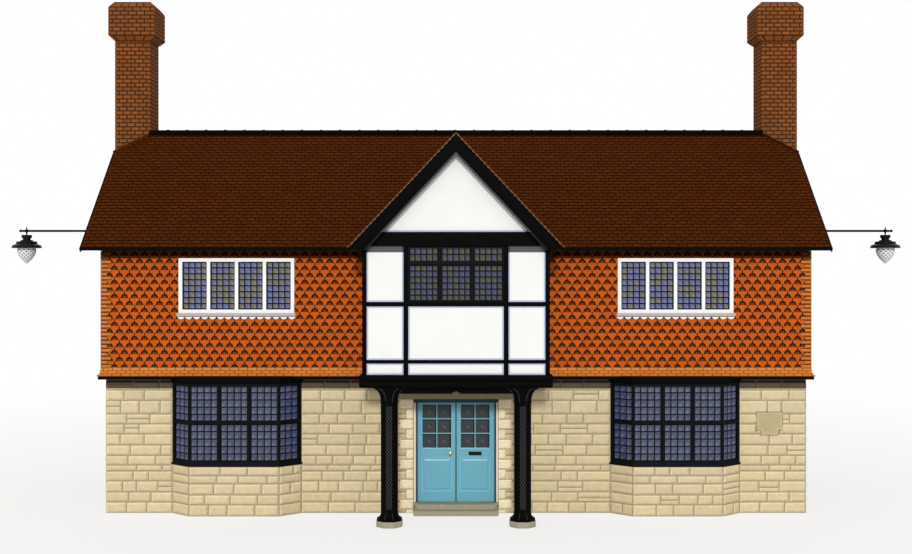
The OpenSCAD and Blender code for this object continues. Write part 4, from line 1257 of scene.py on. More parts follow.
class Masonry:
    """Gathers blocks on flat faces, each with its own tone."""

    def __init__(self, seed):
        self.whole = bmesh.new()
        self.tone = self.whole.verts.layers.float.new("tone")
        self.side = self.whole.verts.layers.float.new("side")
        self.chance = random.Random(seed)

    def point(self, place, tone, side=0.0):
        """A corner, with its block's tone and the side of the block that it is on."""
        made = self.whole.verts.new(place)
        made[self.tone], made[self.side] = tone, side
        return made

    def band(self, front, back):
        """Joins two rings of corners with faces."""
        for k in range(len(front)):
            after = (k + 1) % len(front)
            self.whole.faces.new([front[k], back[k], back[after], front[after]])

    def stone(self, place, u, v, proud, edge=0.045, deep=0.02):
        """A squared stone over u and v on a placed face, worn round towards its joints."""
        chance = self.chance
        tone = chance.random()
        lines = []
        for low, high in (u, v):
            rim = min(edge, (high - low) * 0.3)
            middle = (low + high) / 2 + chance.uniform(-0.15, 0.15) * (high - low)
            lines.append([low, low + rim, middle, high - rim, high])
        height = proud * chance.uniform(0.75, 1.1)
        grid = []
        for i, x in enumerate(lines[0]):
            grid.append([])
            for j, y in enumerate(lines[1]):
                rims = (i in (0, 4)) + (j in (0, 4))
                out = (0.0, proud * 0.12, 0.0)[rims] if rims else height * chance.uniform(0.86, 1.1)
                shift = 0.0022 if rims else 0.006
                spot = Vector((x + chance.uniform(-shift, shift), y + chance.uniform(-shift, shift), out))
                # side is 1 on the top and left rims and -1 on the foot and right, where the stone's
                # material paints highlight and shade
                side = (i == 0 or j == 4) - (i == 4 or j == 0) if i != j else 0.0
                grid[i].append(self.point(place @ spot, tone, side))
        for i in range(4):
            for j in range(4):
                ring = (grid[i][j], grid[i + 1][j], grid[i + 1][j + 1], grid[i][j + 1])
                self.whole.faces.new(ring)
        ring = [grid[i][0] for i in range(4)] + [grid[4][j] for j in range(4)]
        ring += [grid[i][4] for i in range(4, 0, -1)] + [grid[0][j] for j in range(4, 0, -1)]
        inward = place.to_3x3() @ Vector((0, 0, -deep))
        back = [self.point(made.co + inward, tone, made[self.side]) for made in ring]
        self.band(ring, back)
        self.whole.faces.new(list(reversed(back)))

    def courses(self, place, span, levels, short, long, joint, proud, holes=()):
        """Courses of stones over a span, with the joints of each kept off those below."""
        below = []
        for low, high in zip(levels, levels[1:]):
            spans = [span]
            for left, right, bottom, top in holes:
                if low < top - 0.01 and high > bottom + 0.01:
                    spans = [(near, min(left, far)) for near, far in spans if left > near] + [(max(right,
                        near), far) for near, far in spans if right < far]
                    spans = sorted(s for s in spans if s[1] - s[0] > 0.03)
            cuts = []
            for at, far in spans:
                while far - at > 1e-6:
                    size = self.chance.uniform(short, long)
                    if any(abs(at + size - b) < 0.06 for b in below):
                        size += 0.08
                    if far - at - size < short * 0.7:
                        size = far - at if far - at < long * 1.25 else (far - at) / 2
                    self.laid(place, (at, at + size), (low, high), joint, proud)
                    at += size
                    cuts.append(at)
            below = cuts

    def laid(self, place, u, v, joint, proud):
        """One stone of a course, or now and then two thin ones in its place."""
        half, (low, high) = joint / 2, v
        u = (u[0] + half, u[1] - half)
        size = u[1] - u[0] + joint
        if self.chance.random() < 0.08 and size > 0.26 and high - low > 0.19:
            middle = low + (high - low) * self.chance.uniform(0.4, 0.6)
            self.stone(place, u, (low + half, middle - half), proud * 0.6, 0.03)
            self.stone(place, u, (middle + half, high - half), proud * 0.6, 0.03)
        else:
            self.stone(place, u, (low + half, high - half), proud)

    def block(self, inner, outer, tone):
        """A closed block with eight given corners: four behind, and four round its outer face."""
        inner, outer = [[self.point(p, tone) for p in ring] for ring in (inner, outer)]
        self.whole.faces.new(outer)
        self.whole.faces.new(list(reversed(inner)))
        self.band(outer, inner)


LEVELS = [0, 0.22, 0.42, 0.64, 0.84, 0.96, 1.15, 1.36, 1.58, 1.78, 1.98, 2.25, 2.46, 2.66]
BAY_LEVELS = [0, 0.227, 0.424, 0.641, 0.8, 0.98]
# The bay in plan: half its width at the wall and at its front, and how far it stands out
BAY_WALL, BAY_FRONT, BAY_OUT = 1.29, 0.89, 0.35
# The feet and the tops of its lights, below and above the transom
BAY_LIGHTS = ((1.08, 1.817), (1.866, 2.58))
# The width of a front light, how far the glass is sunk, and a cant's posts at the wall and in front
BAY_LIGHT, BAY_SUNK, WALL_POST, FRONT_POST = 0.5463, 0.035, 0.06, 0.0295


class HOUSE_OT_stones(bpy.types.Operator):
    """Builds the squared stones of the lower walls and the bays, course by course"""

    bl_idname = "house.stones"
    bl_label = "Stones"

    def execute(self, context):
        sizes = context.scene.house_masonry
        stone = rubble_stone(sizes.stone_colour)
        rule = (sizes.stone_low, sizes.stone_high, sizes.stone_joint, sizes.stone_proud)
        end_x, end_y, door = WALL_X + 0.004, WALL_Y + 0.004, 0.982
        for k, (side, sign) in enumerate(SIDES):
            work = Masonry(61 + k)
            span = (-end_x, -door) if sign < 0 else (door, end_x)
            hole = (sign * BAY_X - BAY_WALL, sign * BAY_X + BAY_WALL, 0, 2.7)
            work.courses(placing((0, -WALL_Y, 0), ALONG_X, UP), span, LEVELS, *rule, holes=[hole])
            piece(f"stones_front_{side}", closed(work.whole, side), stone)
            work = Masonry(63 + k)
            place = placing((sign * WALL_X, 0, 0), ALONG_Y * sign, UP)
            for near, far in ((-end_y, STACK_Y[0]), (STACK_Y[1], end_y)):
                work.courses(place, (near, far) if sign > 0 else (-far, -near), LEVELS, *rule)
            piece(f"stones_side_{side}", closed(work.whole, side), stone)
            work = Masonry(65 + k)
            plan = [(-BAY_WALL, 0), (-BAY_FRONT, -BAY_OUT), (BAY_FRONT, -BAY_OUT), (BAY_WALL, 0)]
            for start, end in zip(plan, plan[1:]):
                way = Vector((end[0] - start[0], end[1] - start[1], 0))
                origin = (sign * BAY_X + start[0], -WALL_Y + start[1], 0)
                work.courses(placing(origin, way.normalized(), UP), (0, way.length), BAY_LEVELS, *rule)
            piece(f"stones_bay_{side}", closed(work.whole, side), stone)
        work = Masonry(67)
        windows = [(x - WINDOW_HALF, x + WINDOW_HALF, *BACK_WINDOW_Z) for x in (-BAY_X, BAY_X)]
        place = placing((0, WALL_Y, 0), -ALONG_X, UP)
        work.courses(place, (-end_x, end_x), LEVELS, *rule, holes=windows)
        piece("stones_back", closed(work.whole, "back"), stone)
        return {"FINISHED"}


class HOUSE_OT_quoins(bpy.types.Operator):
    """Faces the door's quoins with rubbed stones, long and short by turns"""

    bl_idname = "house.quoins"
    bl_label = "Quoins"

    def execute(self, context):
        rubbed = dressed_stone("rubbed_quoin_stone", context.scene.house_masonry.quoin_colour)
        inner, top, course, joint, out = 0.85, 2.28, 0.2, 0.02, 0.025
        place = placing((0, -WALL_Y - out, 0), ALONG_X, UP)
        for k, (side, sign) in enumerate(SIDES):
            work = Masonry(68 + k)
            for row in range(12):
                wide = 0.256 if row % 2 == 0 else 0.132
                ends = sorted((sign * (inner + 0.004), sign * (inner + wide + 0.006)))
                low = max(0.004, top - (row + 1) * course + joint / 2)
                high = top - row * course - joint / 2
                if high - low > 0.03:
                    work.stone(place, ends, (low, high), 0.014, 0.034, 0.038)
            piece(f"quoins_{side}", closed(work.whole, side), rubbed)
        return {"FINISHED"}


def swept_ring(outlines, place):
    """A closed ring through outlines of like corners, each at its own height above a plane."""
    whole = bmesh.new()
    rings = [[whole.verts.new(place @ Vector((*p, z))) for p in line] for line, z in outlines]
    for near, far in zip(rings, rings[1:] + rings[:1]):
        for k in range(len(near)):
            after = (k + 1) % len(near)
            whole.faces.new((near[k], near[after], far[after], far[k]))
    return closed(whole, "ring", outward=True)


def offset_outline(outline, out):
    """An outline drawn anticlockwise whose edges all move outwards by a distance."""
    moved = []
    for k, here in enumerate(outline):
        before, after = outline[k - 1], outline[(k + 1) % len(outline)]
        a = Vector((here[0] - before[0], here[1] - before[1])).normalized()
        b = Vector((after[0] - here[0], after[1] - here[1])).normalized()
        a, b = Vector((a.y, -a.x)), Vector((b.y, -b.x))
        reach = (a + b) * (out / (1 + a.dot(b)))
        moved.append((here[0] + reach.x, here[1] + reach.y))
    return moved


def moulded(outline, profile, place):
    """A moulding round an outline: its profile gives how far out of it and how high each edge is."""
    return swept_ring([(offset_outline(outline, out), z) for out, z in profile], place)


class HOUSE_OT_plaque(bpy.types.Operator):
    """Sets the bare stone plaque in its mortar, with a sunk field inside a raised rim"""

    bl_idname = "house.plaque"
    bl_label = "Plaque"

    def execute(self, context):
        (left, _, low), (right, _, high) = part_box("stone_plaque")
        ear, step = 0.085, low + 0.098
        outline = [(left + ear, low), (right - ear, low), (right - ear, step), (right, step)]
        outline += [(right, high), (left, high), (left, step), (left + ear, step)]
        wall = placing((0, -WALL_Y, 0), ALONG_X, UP)
        profile = [(0, 0.0), (0, 0.024), (-0.005, 0.03), (-0.02, 0.03), (-0.026, 0.025), (-0.026, 0.0)]
        rim_stone = dressed_stone("rubbed_plaque_rim", linear("#d3c49a"))
        piece("plaque_rim", moulded(outline, profile, wall), rim_stone)
        points, faces = drawn(offset_outline(outline, -0.0255), 0.0, 0.0245)
        field = joined([solid("field", [wall @ Vector(p) for p in points], faces)], "field", outward=True)
        field_stone = dressed_stone("tooled_plaque_field", linear("#c3b287"))
        piece("plaque_field", field, field_stone, stands_for=("stone_plaque",))
        profile = [(0.0005, 0.0), (0.0005, 0.023), (0.021, 0.022), (0.023, 0.0)]
        piece("plaque_joint", moulded(outline, profile, wall), bedding_mortar())
        return {"FINISHED"}


class HOUSE_OT_bricks(bpy.types.Operator):
    """Lays the bricks of both stacks and their spread heads in half bond"""

    bl_idname = "house.bricks"
    bl_label = "Bricks"

    def execute(self, context):
        self.sizes = context.scene.house_masonry
        brick = stock_brick(self.sizes.brick_colour)
        rise = self.sizes.brick_high
        half = ((STACK_X[1] - STACK_X[0]) / 2, (STACK_Y[1] - STACK_Y[0]) / 2)
        pairs = int(HEAD_Z / rise) // 2
        unit = Masonry(71)
        for row in (0, 1):
            self.course(unit, row, half, half, row * rise, (row + 1) * rise)
        base = closed(unit.whole, "shaft")
        shaft = grown(rows_tree, base, Rows=pairs, Upward=(0, 0, 2 * rise), Seed=71, Material=brick)
        head = Masonry(72)
        # The spread courses of the head, between the stack's own top row and its capping
        count, low, high = 8, HEAD_Z + 0.115, STACK_TOP - 0.133
        levels = [pairs * 2 * rise, HEAD_Z, low]
        levels += [low + (high - low) * k / (count - 1) for k in range(1, count)] + [STACK_TOP - 0.012]
        spread = [(0, 0), (HEAD_Z, 0), (low, 0.118), (high, 0.118), (STACK_TOP, 0.01)]
        for row, (low, high) in enumerate(zip(levels, levels[1:])):
            if high - low >= 0.02:
                ends = [tuple(h + self.reach(spread, z) for h in half) for z in (low, high)]
                self.course(head, row, *ends, low, high)
        stack = joined([shaft, closed(head.whole, "head")], "stack")
        for side, sign in SIDES:
            mesh = stack.copy()
            if sign < 0:
                mesh.transform(Matrix.Rotation(math.pi, 4, "Z"))
            mesh.transform(Matrix.Translation((sign * sum(STACK_X) / 2, sum(STACK_Y) / 2, 0)))
            piece(f"bricks_{side}", mesh, brick)
        return {"FINISHED"}

    def reach(self, edges, z):
        """How far the stack's face stands out at a height."""
        for (low, before), (high, after) in zip(edges, edges[1:]):
            if z <= high:
                return before + (after - before) * (z - low) / (high - low)
        return edges[-1][1]

    def course(self, work, row, lower, upper, low, high):
        """One course round the stack, whose corner bricks turn the corner by turns."""
        long, joint, proud, header = self.sizes.brick_long, self.sizes.brick_joint / 2, 0.005, 0.085
        for turn in range(4):
            spin = Matrix.Rotation(turn * math.pi / 2, 3, "Z")
            across, out = (0, 1) if turn % 2 == 0 else (1, 0)
            wide = 2 * lower[across]
            cuts = [header if row % 2 else 0.0]
            while wide - cuts[-1] - long > 0.03:
                cuts.append(cuts[-1] + long)
            cuts.append(wide if row % 2 else wide - header)
            if len(cuts) > 2 and cuts[-1] - cuts[-2] < 0.05:
                cuts.pop(-2)
            for k, (start, end) in enumerate(zip(cuts, cuts[1:])):
                corner = k == (len(cuts) - 2 if row % 2 else 0)
                tone = work.chance.random()
                left = proud if start == 0 else -joint
                right = proud if end == wide else -joint
                rings = []
                for level in (joint - header if corner else -0.03, proud):
                    rings.append([])
                    for at, more, z in ((start, -left, low + joint), (end, right, low + joint),
                            (end, right, high - joint), (start, -left, high - joint)):
                        share = (z - low) / (high - low)
                        reach = [a + (b - a) * share for a, b in zip(lower, upper)]
                        u = (at / wide * 2 - 1) * reach[across] + more
                        rings[-1].append(spin @ Vector((u, -reach[out] - level, z)))
                work.block(*rings, tone)


# Leaded lights


def pane_shape():
    """A unit pane that faces -Y, whose UV map runs from its lower left corner."""
    points, faces = drawn([(-0.5, -0.5), (0.5, -0.5), (0.5, 0.5), (-0.5, 0.5)], -0.5, 0.5)
    return solid("pane", points, faces, lambda p: (p.x + 0.5, p.z + 0.5))


def came_shape():
    """A unit length of lead along X with rounded flanges."""
    ring = [(0.5, 0.2), (0.32, 0.5), (-0.32, 0.5), (-0.5, 0.2)]
    ring += [(-0.5, -0.2), (-0.32, -0.5), (0.32, -0.5), (0.5, -0.2)]
    count = len(ring)
    points = [(-0.5, y, z) for z, y in ring] + [(0.5, y, z) for z, y in ring]
    faces = [list(range(count)), list(range(2 * count - 1, count - 1, -1))]
    faces += [(i, count + i, count + (i + 1) % count, (i + 1) % count) for i in range(count)]
    return solid("came", points, faces, lambda p: (p.x, p.z))


# The thickness of a pane, and how much smaller it is than its opening
PANE_THICK = PANE_GAP = 0.004


def leaded(lights, came):
    """The panes and leads of lights, each a middle, way across, width, height, columns and rows."""
    panes, leads = [], []
    for middle, turn, wide, high, columns, rows in lights:
        across = Vector((math.cos(turn), math.sin(turn), 0))
        step_u, step_v = wide / columns, high / rows
        for i in range(columns):
            for j in range(rows):
                at = across * ((i + 0.5) * step_u - wide / 2) + UP * ((j + 0.5) * step_v - high / 2)
                span = (step_u - PANE_GAP, PANE_THICK, step_v - PANE_GAP)
                panes.append((middle + at, span, (0, 0, turn)))
        for i in range(columns + 1):
            inward = came / 2 * ((i == 0) - (i == columns))
            at = across * (i * step_u - wide / 2 + inward)
            leads.append((middle + at, (high, 0.012, came), (0, math.pi / 2, turn)))
        for j in range(rows + 1):
            inward = came / 2 * ((j == 0) - (j == rows))
            at = UP * (j * step_v - high / 2 + inward)
            leads.append((middle + at, (wide, 0.0108, came), (0, 0, turn)))
    return panes, leads


class HOUSE_OT_leaded_lights(bpy.types.Operator):
    """Glazes the bays, the casements and the chamber window with small panes set in lead"""

    bl_idname = "house.leaded_lights"
    bl_label = "Leaded Lights"

    def execute(self, context):
        wood = context.scene.house_joinery
        lead = old_lead(wood.lead_colour)
        # The part of each pane with a painted paler reflection: its lower right corner, or its lower left
        # part
        corner, lower = (0.52, 2.0, 0.5), (0.1, 0.56, 0.46)
        upper = pane_glass("drawn_glass_upper", "#6f6d66", "#63688f", corner, 1.45)
        # The chamber's and the bays' glass take a painted shade over their top panes, above the level given
        # last
        chamber = pane_glass("drawn_glass_chamber", "#484741", "#40435a", corner, 1.5, 5.255)
        front = pane_glass("drawn_glass_bay", "#4a5066", "#50566e", lower, 1.6, 2.535)
        # The cants' glass is a darker copy of the front's: painted shade for their turn from the light
        cant = pane_glass("drawn_glass_cant", "#3f4562", "#444b6d", lower, 1.8, 2.535)
        for name, lights, glass, source, seed in (("casement", self.casements(), upper, "window_glass", 81),
                ("chamber", self.chamber(), chamber, "chamber_window_glass", 82),
                ("bay", self.bays(), front, "bay_glass", 83), ("cant", self.cants(), cant, "bay_glass",
                84)):
            panes, leads = leaded(lights, wood.came)
            mesh = on_points("panes", pane_shape(), panes, wood.pane_tilt, seed)
            piece(f"{name}_panes", mesh, glass, stands_for=(source,))
            mesh = on_points("leads", came_shape(), leads, 0.0, seed)
            piece(f"{name}_leads", mesh, lead)
        return {"FINISHED"}

    def casements(self):
        """Four lights in each window upstairs, and in the back windows below."""
        lights = []
        # How far the frames stand out upstairs and in below, and how far the glass is sunk in them
        out, back, sunk = 0.02, 0.03, 0.06
        # A frame's side and height, and a light's width, height and step to the next
        side, tall, wide, high, step = 0.073, 1.1, 0.49, 0.954, 0.558
        for turn, y, foot in ((0.0, -HUNG_Y - out + sunk, WINDOW_Z[0]),
                (math.pi, HUNG_Y + out - sunk, WINDOW_Z[0]),
                (math.pi, WALL_Y - back - sunk, BACK_WINDOW_Z[0])):
            for x in (-BAY_X, BAY_X):
                for i in range(4):
                    left = x - WINDOW_HALF + side
                    middle = Vector((left + wide / 2 + i * step, y, foot + tall / 2))
                    lights.append((middle, turn, wide, high, 4, 8))
        return lights

    def chamber(self):
        """Three lights over three, with a transom between."""
        lights = []
        for low, high, rows in ((4.277, 4.962, 6), (5.019, 5.306, 2)):
            for left, right in ((-0.8885, -0.335), (-0.279, 0.279), (0.335, 0.8885)):
                middle = Vector(((left + right) / 2, CHAMBER_Y + 0.04, (low + high) / 2))
                lights.append((middle, 0.0, right - left, high - low, 5, rows))
        return lights

    def bays(self):
        """The three front lights of both bays, below and above the transom."""
        lights = []
        for x in (-BAY_X, BAY_X):
            for low, high in BAY_LIGHTS:
                for i in (-1, 0, 1):
                    across = x + i * BAY_FRONT * 2 / 3
                    middle = Vector((across, -WALL_Y - BAY_OUT + BAY_SUNK, (low + high) / 2))
                    lights.append((middle, 0.0, BAY_LIGHT, high - low, 4, 5))
        return lights

    def cants(self):
        """The canted lights of both bays, below and above the transom."""
        lights = []
        lean = math.atan2(BAY_OUT, BAY_WALL - BAY_FRONT)
        long = math.hypot(BAY_OUT, BAY_WALL - BAY_FRONT)
        for x in (-BAY_X, BAY_X):
            for low, high in BAY_LIGHTS:
                for sign in (-1, 1):
                    out = Vector((sign * math.sin(lean), -math.cos(lean), 0))
                    way = Vector((-sign * math.cos(lean), -math.sin(lean), 0))
                    foot = Vector((x + sign * BAY_WALL, -WALL_Y, (low + high) / 2))
                    middle = foot + way * ((WALL_POST + long - FRONT_POST) / 2) - out * BAY_SUNK
                    wide = long - FRONT_POST - WALL_POST
                    lights.append((middle, sign * lean, wide, high - low, 3, 5))
        return lights


class HOUSE_OT_door_panes(bpy.types.Operator):
    """Glazes each door leaf with six panes of sheet glass"""

    bl_idname = "house.door_panes"
    bl_label = "Door Panes"

    def execute(self, context):
        glass = door_glass()
        for side, sign in SIDES:
            source = f"door_glass_{side}"
            low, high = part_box(source)
            wide, tall = (high[0] - low[0]) / 2, (high[2] - low[2]) / 3
            panes = []
            for i in range(2):
                for j in range(3):
                    middle = (low[0] + (i + 0.5) * wide, (low[1] + high[1]) / 2, low[2] + (j + 0.5) * tall)
                    span = (wide - PANE_GAP, PANE_THICK, tall - PANE_GAP)
                    panes.append((Vector(middle), span, (0, 0, 0)))
            mesh = on_points("panes", pane_shape(), panes, math.radians(0.25), 86 + sign)
            piece(f"door_panes_{side}", mesh, glass, f"door_{side}", (source,))
        return {"FINISHED"}


class HOUSE_OT_door_mouldings(bpy.types.Operator):
    """Plants a moulding round the panel and the glass of each door leaf, on both its faces"""

    bl_idname = "house.door_mouldings"
    bl_label = "Door Mouldings"

    def execute(self, context):
        # Painted highlight: the mouldings are painted paler than the doors, for the light that their edges
        # catch
        tint = shade(context.scene.house_joinery.door_colour, 1.35)
        paint = painted_wood("blue_painted_moulding", tint, 0.3, "Z")
        panel = [(0.014, -0.002), (0.014, 0.006), (0.006, 0.012), (-0.004, 0.011)]
        panel += [(-0.018, -0.003), (-0.018, -0.012)]
        light = [(0.011, -0.002), (0.011, 0.004), (0.004, 0.008), (-0.003, 0.006), (-0.003, -0.006)]
        for side, sign in SIDES:
            low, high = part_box(f"door_leaf_{side}")
            parts = []
            for across, face in ((ALONG_X, low[1]), (-ALONG_X, high[1])):
                wall = placing((0, face, 0), across, UP)
                near, far = sorted((sign * across.x * 0.092, sign * across.x * 0.677))
                for bottom, top, profile in ((0.418, 1.081, panel), (1.282, 2.162, light)):
                    opening = [(near, bottom), (far, bottom), (far, top), (near, top)]
                    parts.append(moulded(opening, profile, wall))
            mesh = joined(parts, "mouldings")
            piece(f"door_mouldings_{side}", mesh, paint, f"door_{side}")
        return {"FINISHED"}


# Porch columns and lamps


def ridge_bar(points, faces, start, end, wide, proud):
    """Adds a bar with a ridged face between two places on the plane z 0."""
    way = Vector((end[0] - start[0], end[1] - start[1], 0)).normalized()
    side = Vector((-way.y, way.x, 0)) * wide / 2
    first = len(points)
    for x, y in (start, end):
        at = Vector((x, y, 0))
        points += [at - side, at + side, at + Vector((0, 0, proud))]
    a, b, c, d, e, f = range(first, first + 6)
    faces += [(a, d, f, c), (b, c, f, e), (a, b, e, d), (a, c, b), (d, e, f)]


class HOUSE_OT_column_trellis(bpy.types.Operator):
    """Plants a raised trellis on the four square faces of each porch column"""

    bl_idname = "house.column_trellis"
    bl_label = "Column Trellis"

    def execute(self, context):
        worn = worn_arris(linear("#4a4a4a"))
        # The real trellis has three cells of 38 mm abreast, too fine to show from across the road
        cell, rise, low, half, rows = 0.058, 0.078, 0.34, 0.1575, 25
        points, faces = [], []
        for k in (-1, 0):
            near, far = k * cell, (k + 1) * cell
            ridge_bar(points, faces, (near, 0), (far, rise), 0.0105, 0.005)
            ridge_bar(points, faces, (near, rise), (far, 0), 0.0105, 0.0045)
        for side, sign in SIDES:
            parts = []
            for turn in range(4):
                base = solid("trellis", points, faces)
                strip = grown(rows_tree, base, Rows=rows, Upward=(0, rise, 0), Seed=91, Material=worn)
                angle = turn * math.pi / 2
                out = Vector((math.sin(angle), -math.cos(angle), 0))
                across = Vector((math.cos(angle), math.sin(angle), 0))
                foot = Vector((sign * COLUMN[0], COLUMN[1], low)) + out * (half - 0.0005)
                strip.transform(placing(foot, across, UP))
                parts.append(strip)
            piece(f"column_trellis_{side}", joined(parts, side), worn)
        # The beads' grey is a painted highlight along the upright arrises of the capitals and feet
        self.beads(worn_arris(linear("#3c3c3c"), "rubbed_arris_paint"))
        return {"FINISHED"}

    def beads(self, worn):
        """Thin beads along the upright edges of the capitals and the flared feet."""
        whole = from_node("porch_columns")
        beads = []
        for edge in whole.edges:
            start, end = [v.co.copy() for v in edge.verts]
            way = end - start
            low, high = sorted((start.z, end.z))
            capital, foot = low > 2.37, high < 0.31 and low > 0.12
            upright = abs(way.z) >= way.length * 0.3
            if (capital or foot) and upright and len(edge.link_faces) == 2:
                if edge.calc_face_angle(0) >= math.radians(12):
                    size = 0.011 if capital else 0.008
                    turn = tuple(way.to_track_quat("X", "Z").to_euler())
                    beads.append(((start + end) / 2, (way.length + 0.004, size, size), turn))
        whole.free()
        piece("column_beads", on_points("beads", came_shape(), beads, 0.0, 92), worn)


class HOUSE_OT_lamp_hoods(bpy.types.Operator):
    """Spins the stepped bands and the rolled lip of each lamp's hood"""

    bl_idname = "house.lamp_hoods"
    bl_label = "Lamp Hoods"

    def execute(self, context):
        # Radius, and height above the rim, from the top step down to the lip and back up inside
        edge = [(0.118, 0.133), (0.2, 0.131), (0.207, 0.124), (0.207, 0.085), (0.214, 0.079)]
        edge += [(0.276, 0.055), (0.286, 0.049), (0.286, 0.015), (0.297, 0.010), (0.3, 0.004)]
        edge += [(0.297, -0.002), (0.275, -0.002), (0.27, 0.02), (0.118, 0.11)]
        count = 48
        circle = [2 * math.pi * k / count for k in range(count)]
        rings = [([(r * math.cos(a), r * math.sin(a)) for a in circle], z) for r, z in edge]
        mesh = joined([swept_ring(rings, Matrix.Translation(rim)) for rim in lamp_rims()], "hoods")
        rounded_shading(mesh, 28)
        piece("lamp_hood_bands", mesh, black_iron())
        return {"FINISHED"}


LAMP_RADIUS = 0.19


def lamp_rims():
    """The middle of each bowl's rim, on the left and on the right."""
    low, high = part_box("lamp_globes")
    return [(sign * (high[0] - LAMP_RADIUS), (low[1] + high[1]) / 2, high[2]) for sign in (-1, 1)]


class HOUSE_OT_lamp_bowls(bpy.types.Operator):
    """Blows a faceted glass bowl under each lamp's hood"""

    bl_idname = "house.lamp_bowls"
    bl_label = "Lamp Bowls"

    def execute(self, context):
        low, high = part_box("lamp_globes")
        tall, thick, puff = high[2] - low[2], 0.008, 0.008
        rings, count = 9, 12

        def reach(ring):
            """The bowl's outer radius at a ring."""
            past = max(0.0, (10 * ring / rings - 0.5) / 9.5)
            return max(0.014, LAMP_RADIUS * math.cos(math.pi / 2 * past**1.25))

        def spot(ring, turn, in_by):
            """A place on a ring, turn columns round, pulled in from the outer radius."""
            angle = 2 * math.pi * turn / count
            r = reach(ring) - in_by
            return (r * math.cos(angle), r * math.sin(angle), -tall * ring / rings)

        made = bmesh.new()
        face, vert = made.faces.new, made.verts.new
        net = made.loops.layers.uv.new("UVMap")
        columns = range(count)
        outer = [[vert(spot(ring, k + 0.5 * (ring % 2),
            puff)) for k in columns] for ring in range(rings + 1)]
        inner = [[vert(spot(ring, k,
            min(thick + puff, reach(ring) * 0.6))) for k in columns] for ring in range(rings)]
        middles = set()
        for ring in range(rings + 1):
            for k in columns:
                left, right = outer[ring][k], outer[ring][(k + 1) % count]
                apex = (k + ring % 2) % count
                if ring == 0:
                    face((left, outer[1][apex], right))
                elif ring == rings:
                    face((outer[ring - 1][apex], left, right))
                else:
                    above, below = outer[ring - 1][apex], outer[ring + 1][apex]
                    middle = vert(spot(ring, k + 0.5 * (ring % 2) + 0.5, 0.0))
                    middles.add(middle)
                    for a, b in ((above, left), (left, below), (below, right), (right, above)):
                        face((a, b, middle))
        face(outer[rings])
        shell = set(made.faces)
        for upper, lower in zip(inner, inner[1:]):
            for k in columns:
                face((upper[(k + 1) % count], lower[(k + 1) % count], lower[k], upper[k]))
        face(inner[-1])
        for k in columns:
            after = (k + 1) % count
            face((outer[0][k], outer[0][after], inner[0][after], inner[0][k]))
        bmesh.ops.recalc_face_normals(made, faces=made.faces)
        # The UV map is 0 along the lines where the facets meet, which the glass paints as a bright
        # highlight
        for sheet in made.faces:
            for loop in sheet.loops:
                plain = loop.vert in middles or sheet not in shell
                loop[net].uv = (1.0 if plain else 0.0, 0.5)
        mesh = closed(made, "bowl")
        both = [mesh.copy(), mesh.copy()]
        for copy, rim in zip(both, lamp_rims()):
            copy.transform(Matrix.Translation(rim))
        mesh = joined(both, "bowls")
        piece("lamp_bowls", mesh, lamp_glass(), stands_for=("lamp_globes",))
        return {"FINISHED"}


# Stage


class HOUSE_OT_stage(bpy.types.Operator):
    """Sets the pale floor, the sky, the soft sun and the camera"""

    bl_idname = "house.stage"
    bl_label = "Stage"

    def execute(self, context):
        scene = context.scene
        stage = scene.house_stage
        scene.view_settings.view_transform = "Standard"
        half = stage.floor_size / 2
        floor = bpy.data.meshes.new("floor")
        corners = [(-half, -half), (half, -half), (half, half), (-half, half)]
        floor.from_pydata([(x, y, -0.002) for x, y in corners], [], [(0, 1, 2, 3)])
        matt = Surface("matt_studio_floor", 0.95)
        speckle = matt.add("ShaderNodeTexNoise", {"Vector": matt.place, "Scale": 2.0, "Detail": 2.0})
        low, high = [shade(stage.floor_colour, factor) for factor in (0.985, 1.015)]
        tint = matt.add("ShaderNodeMix", {0: speckle, 6: low, 7: high}, data_type="RGBA")
        feed(matt.shader, {"Base Color": tint})
        # The camera sees the floor pale to plain white away from the house, which keeps its shadow
        seen = matt.add("ShaderNodeLightPath").node.outputs["Is Camera Ray"]
        away = matt.add("ShaderNodeVectorMath", (matt.place,), operation="LENGTH")
        pale = matt.add("ShaderNodeMapRange", (away, 8.0, 26.0, 0.74, 1.0))
        share = matt.add("ShaderNodeMath", (seen, pale), operation="MULTIPLY")
        white = matt.add("ShaderNodeEmission", {"Color": (1, 1, 1), "Strength": 1.0})
        mixed = matt.add("ShaderNodeMixShader", (share, matt.shader.outputs[0], white))
        feed(matt.tree.nodes["Material Output"], {"Surface": mixed})
        floor.materials.append(matt.material)
        stood("floor", floor)
        self.sky(scene, stage)
        lamp = bpy.data.lights.new("sun", "SUN")
        lamp.energy = stage.sun_power
        lamp.angle = stage.sun_width
        stood("sun", lamp, turn=(math.radians(70), 0, 0))
        # The lens and the shift that lay the house on the picture's outline
        lens = bpy.data.cameras.new("camera")
        lens.sensor_width = 36
        lens.lens = 49.93
        lens.shift_y = -0.0154
        lens.clip_end = 2000
        # 28 m from the middle of the house, at the height that the picture is drawn from
        scene.camera = stood("camera", lens, (0, -27.95, 5.0), (math.pi / 2, 0, 0))
        return {"FINISHED"}

    def sky(self, scene, stage):
        """Even light from all round, seen as plain white."""
        world = bpy.data.worlds.new("studio")
        world.use_nodes = True
        world.node_tree.nodes.clear()
        air = Nodes(world.node_tree)
        path = air.add("ShaderNodeLightPath").node.outputs
        rays = (path["Is Camera Ray"], path["Is Glossy Ray"])
        seen = air.add("ShaderNodeMath", rays, operation="MAXIMUM")
        seen = air.add("ShaderNodeMath", (seen, path["Is Transmission Ray"]), operation="MAXIMUM")
        light = air.add("ShaderNodeBackground", {"Color": (1, 1, 1), "Strength": stage.sky_power})
        white = air.add("ShaderNodeBackground", {"Color": (1, 1, 1), "Strength": 1.0})
        mixed = air.add("ShaderNodeMixShader", (seen, light, white))
        air.add("ShaderNodeOutputWorld", {"Surface": mixed})
        scene.world = world


# Joinery and what stays of the frame


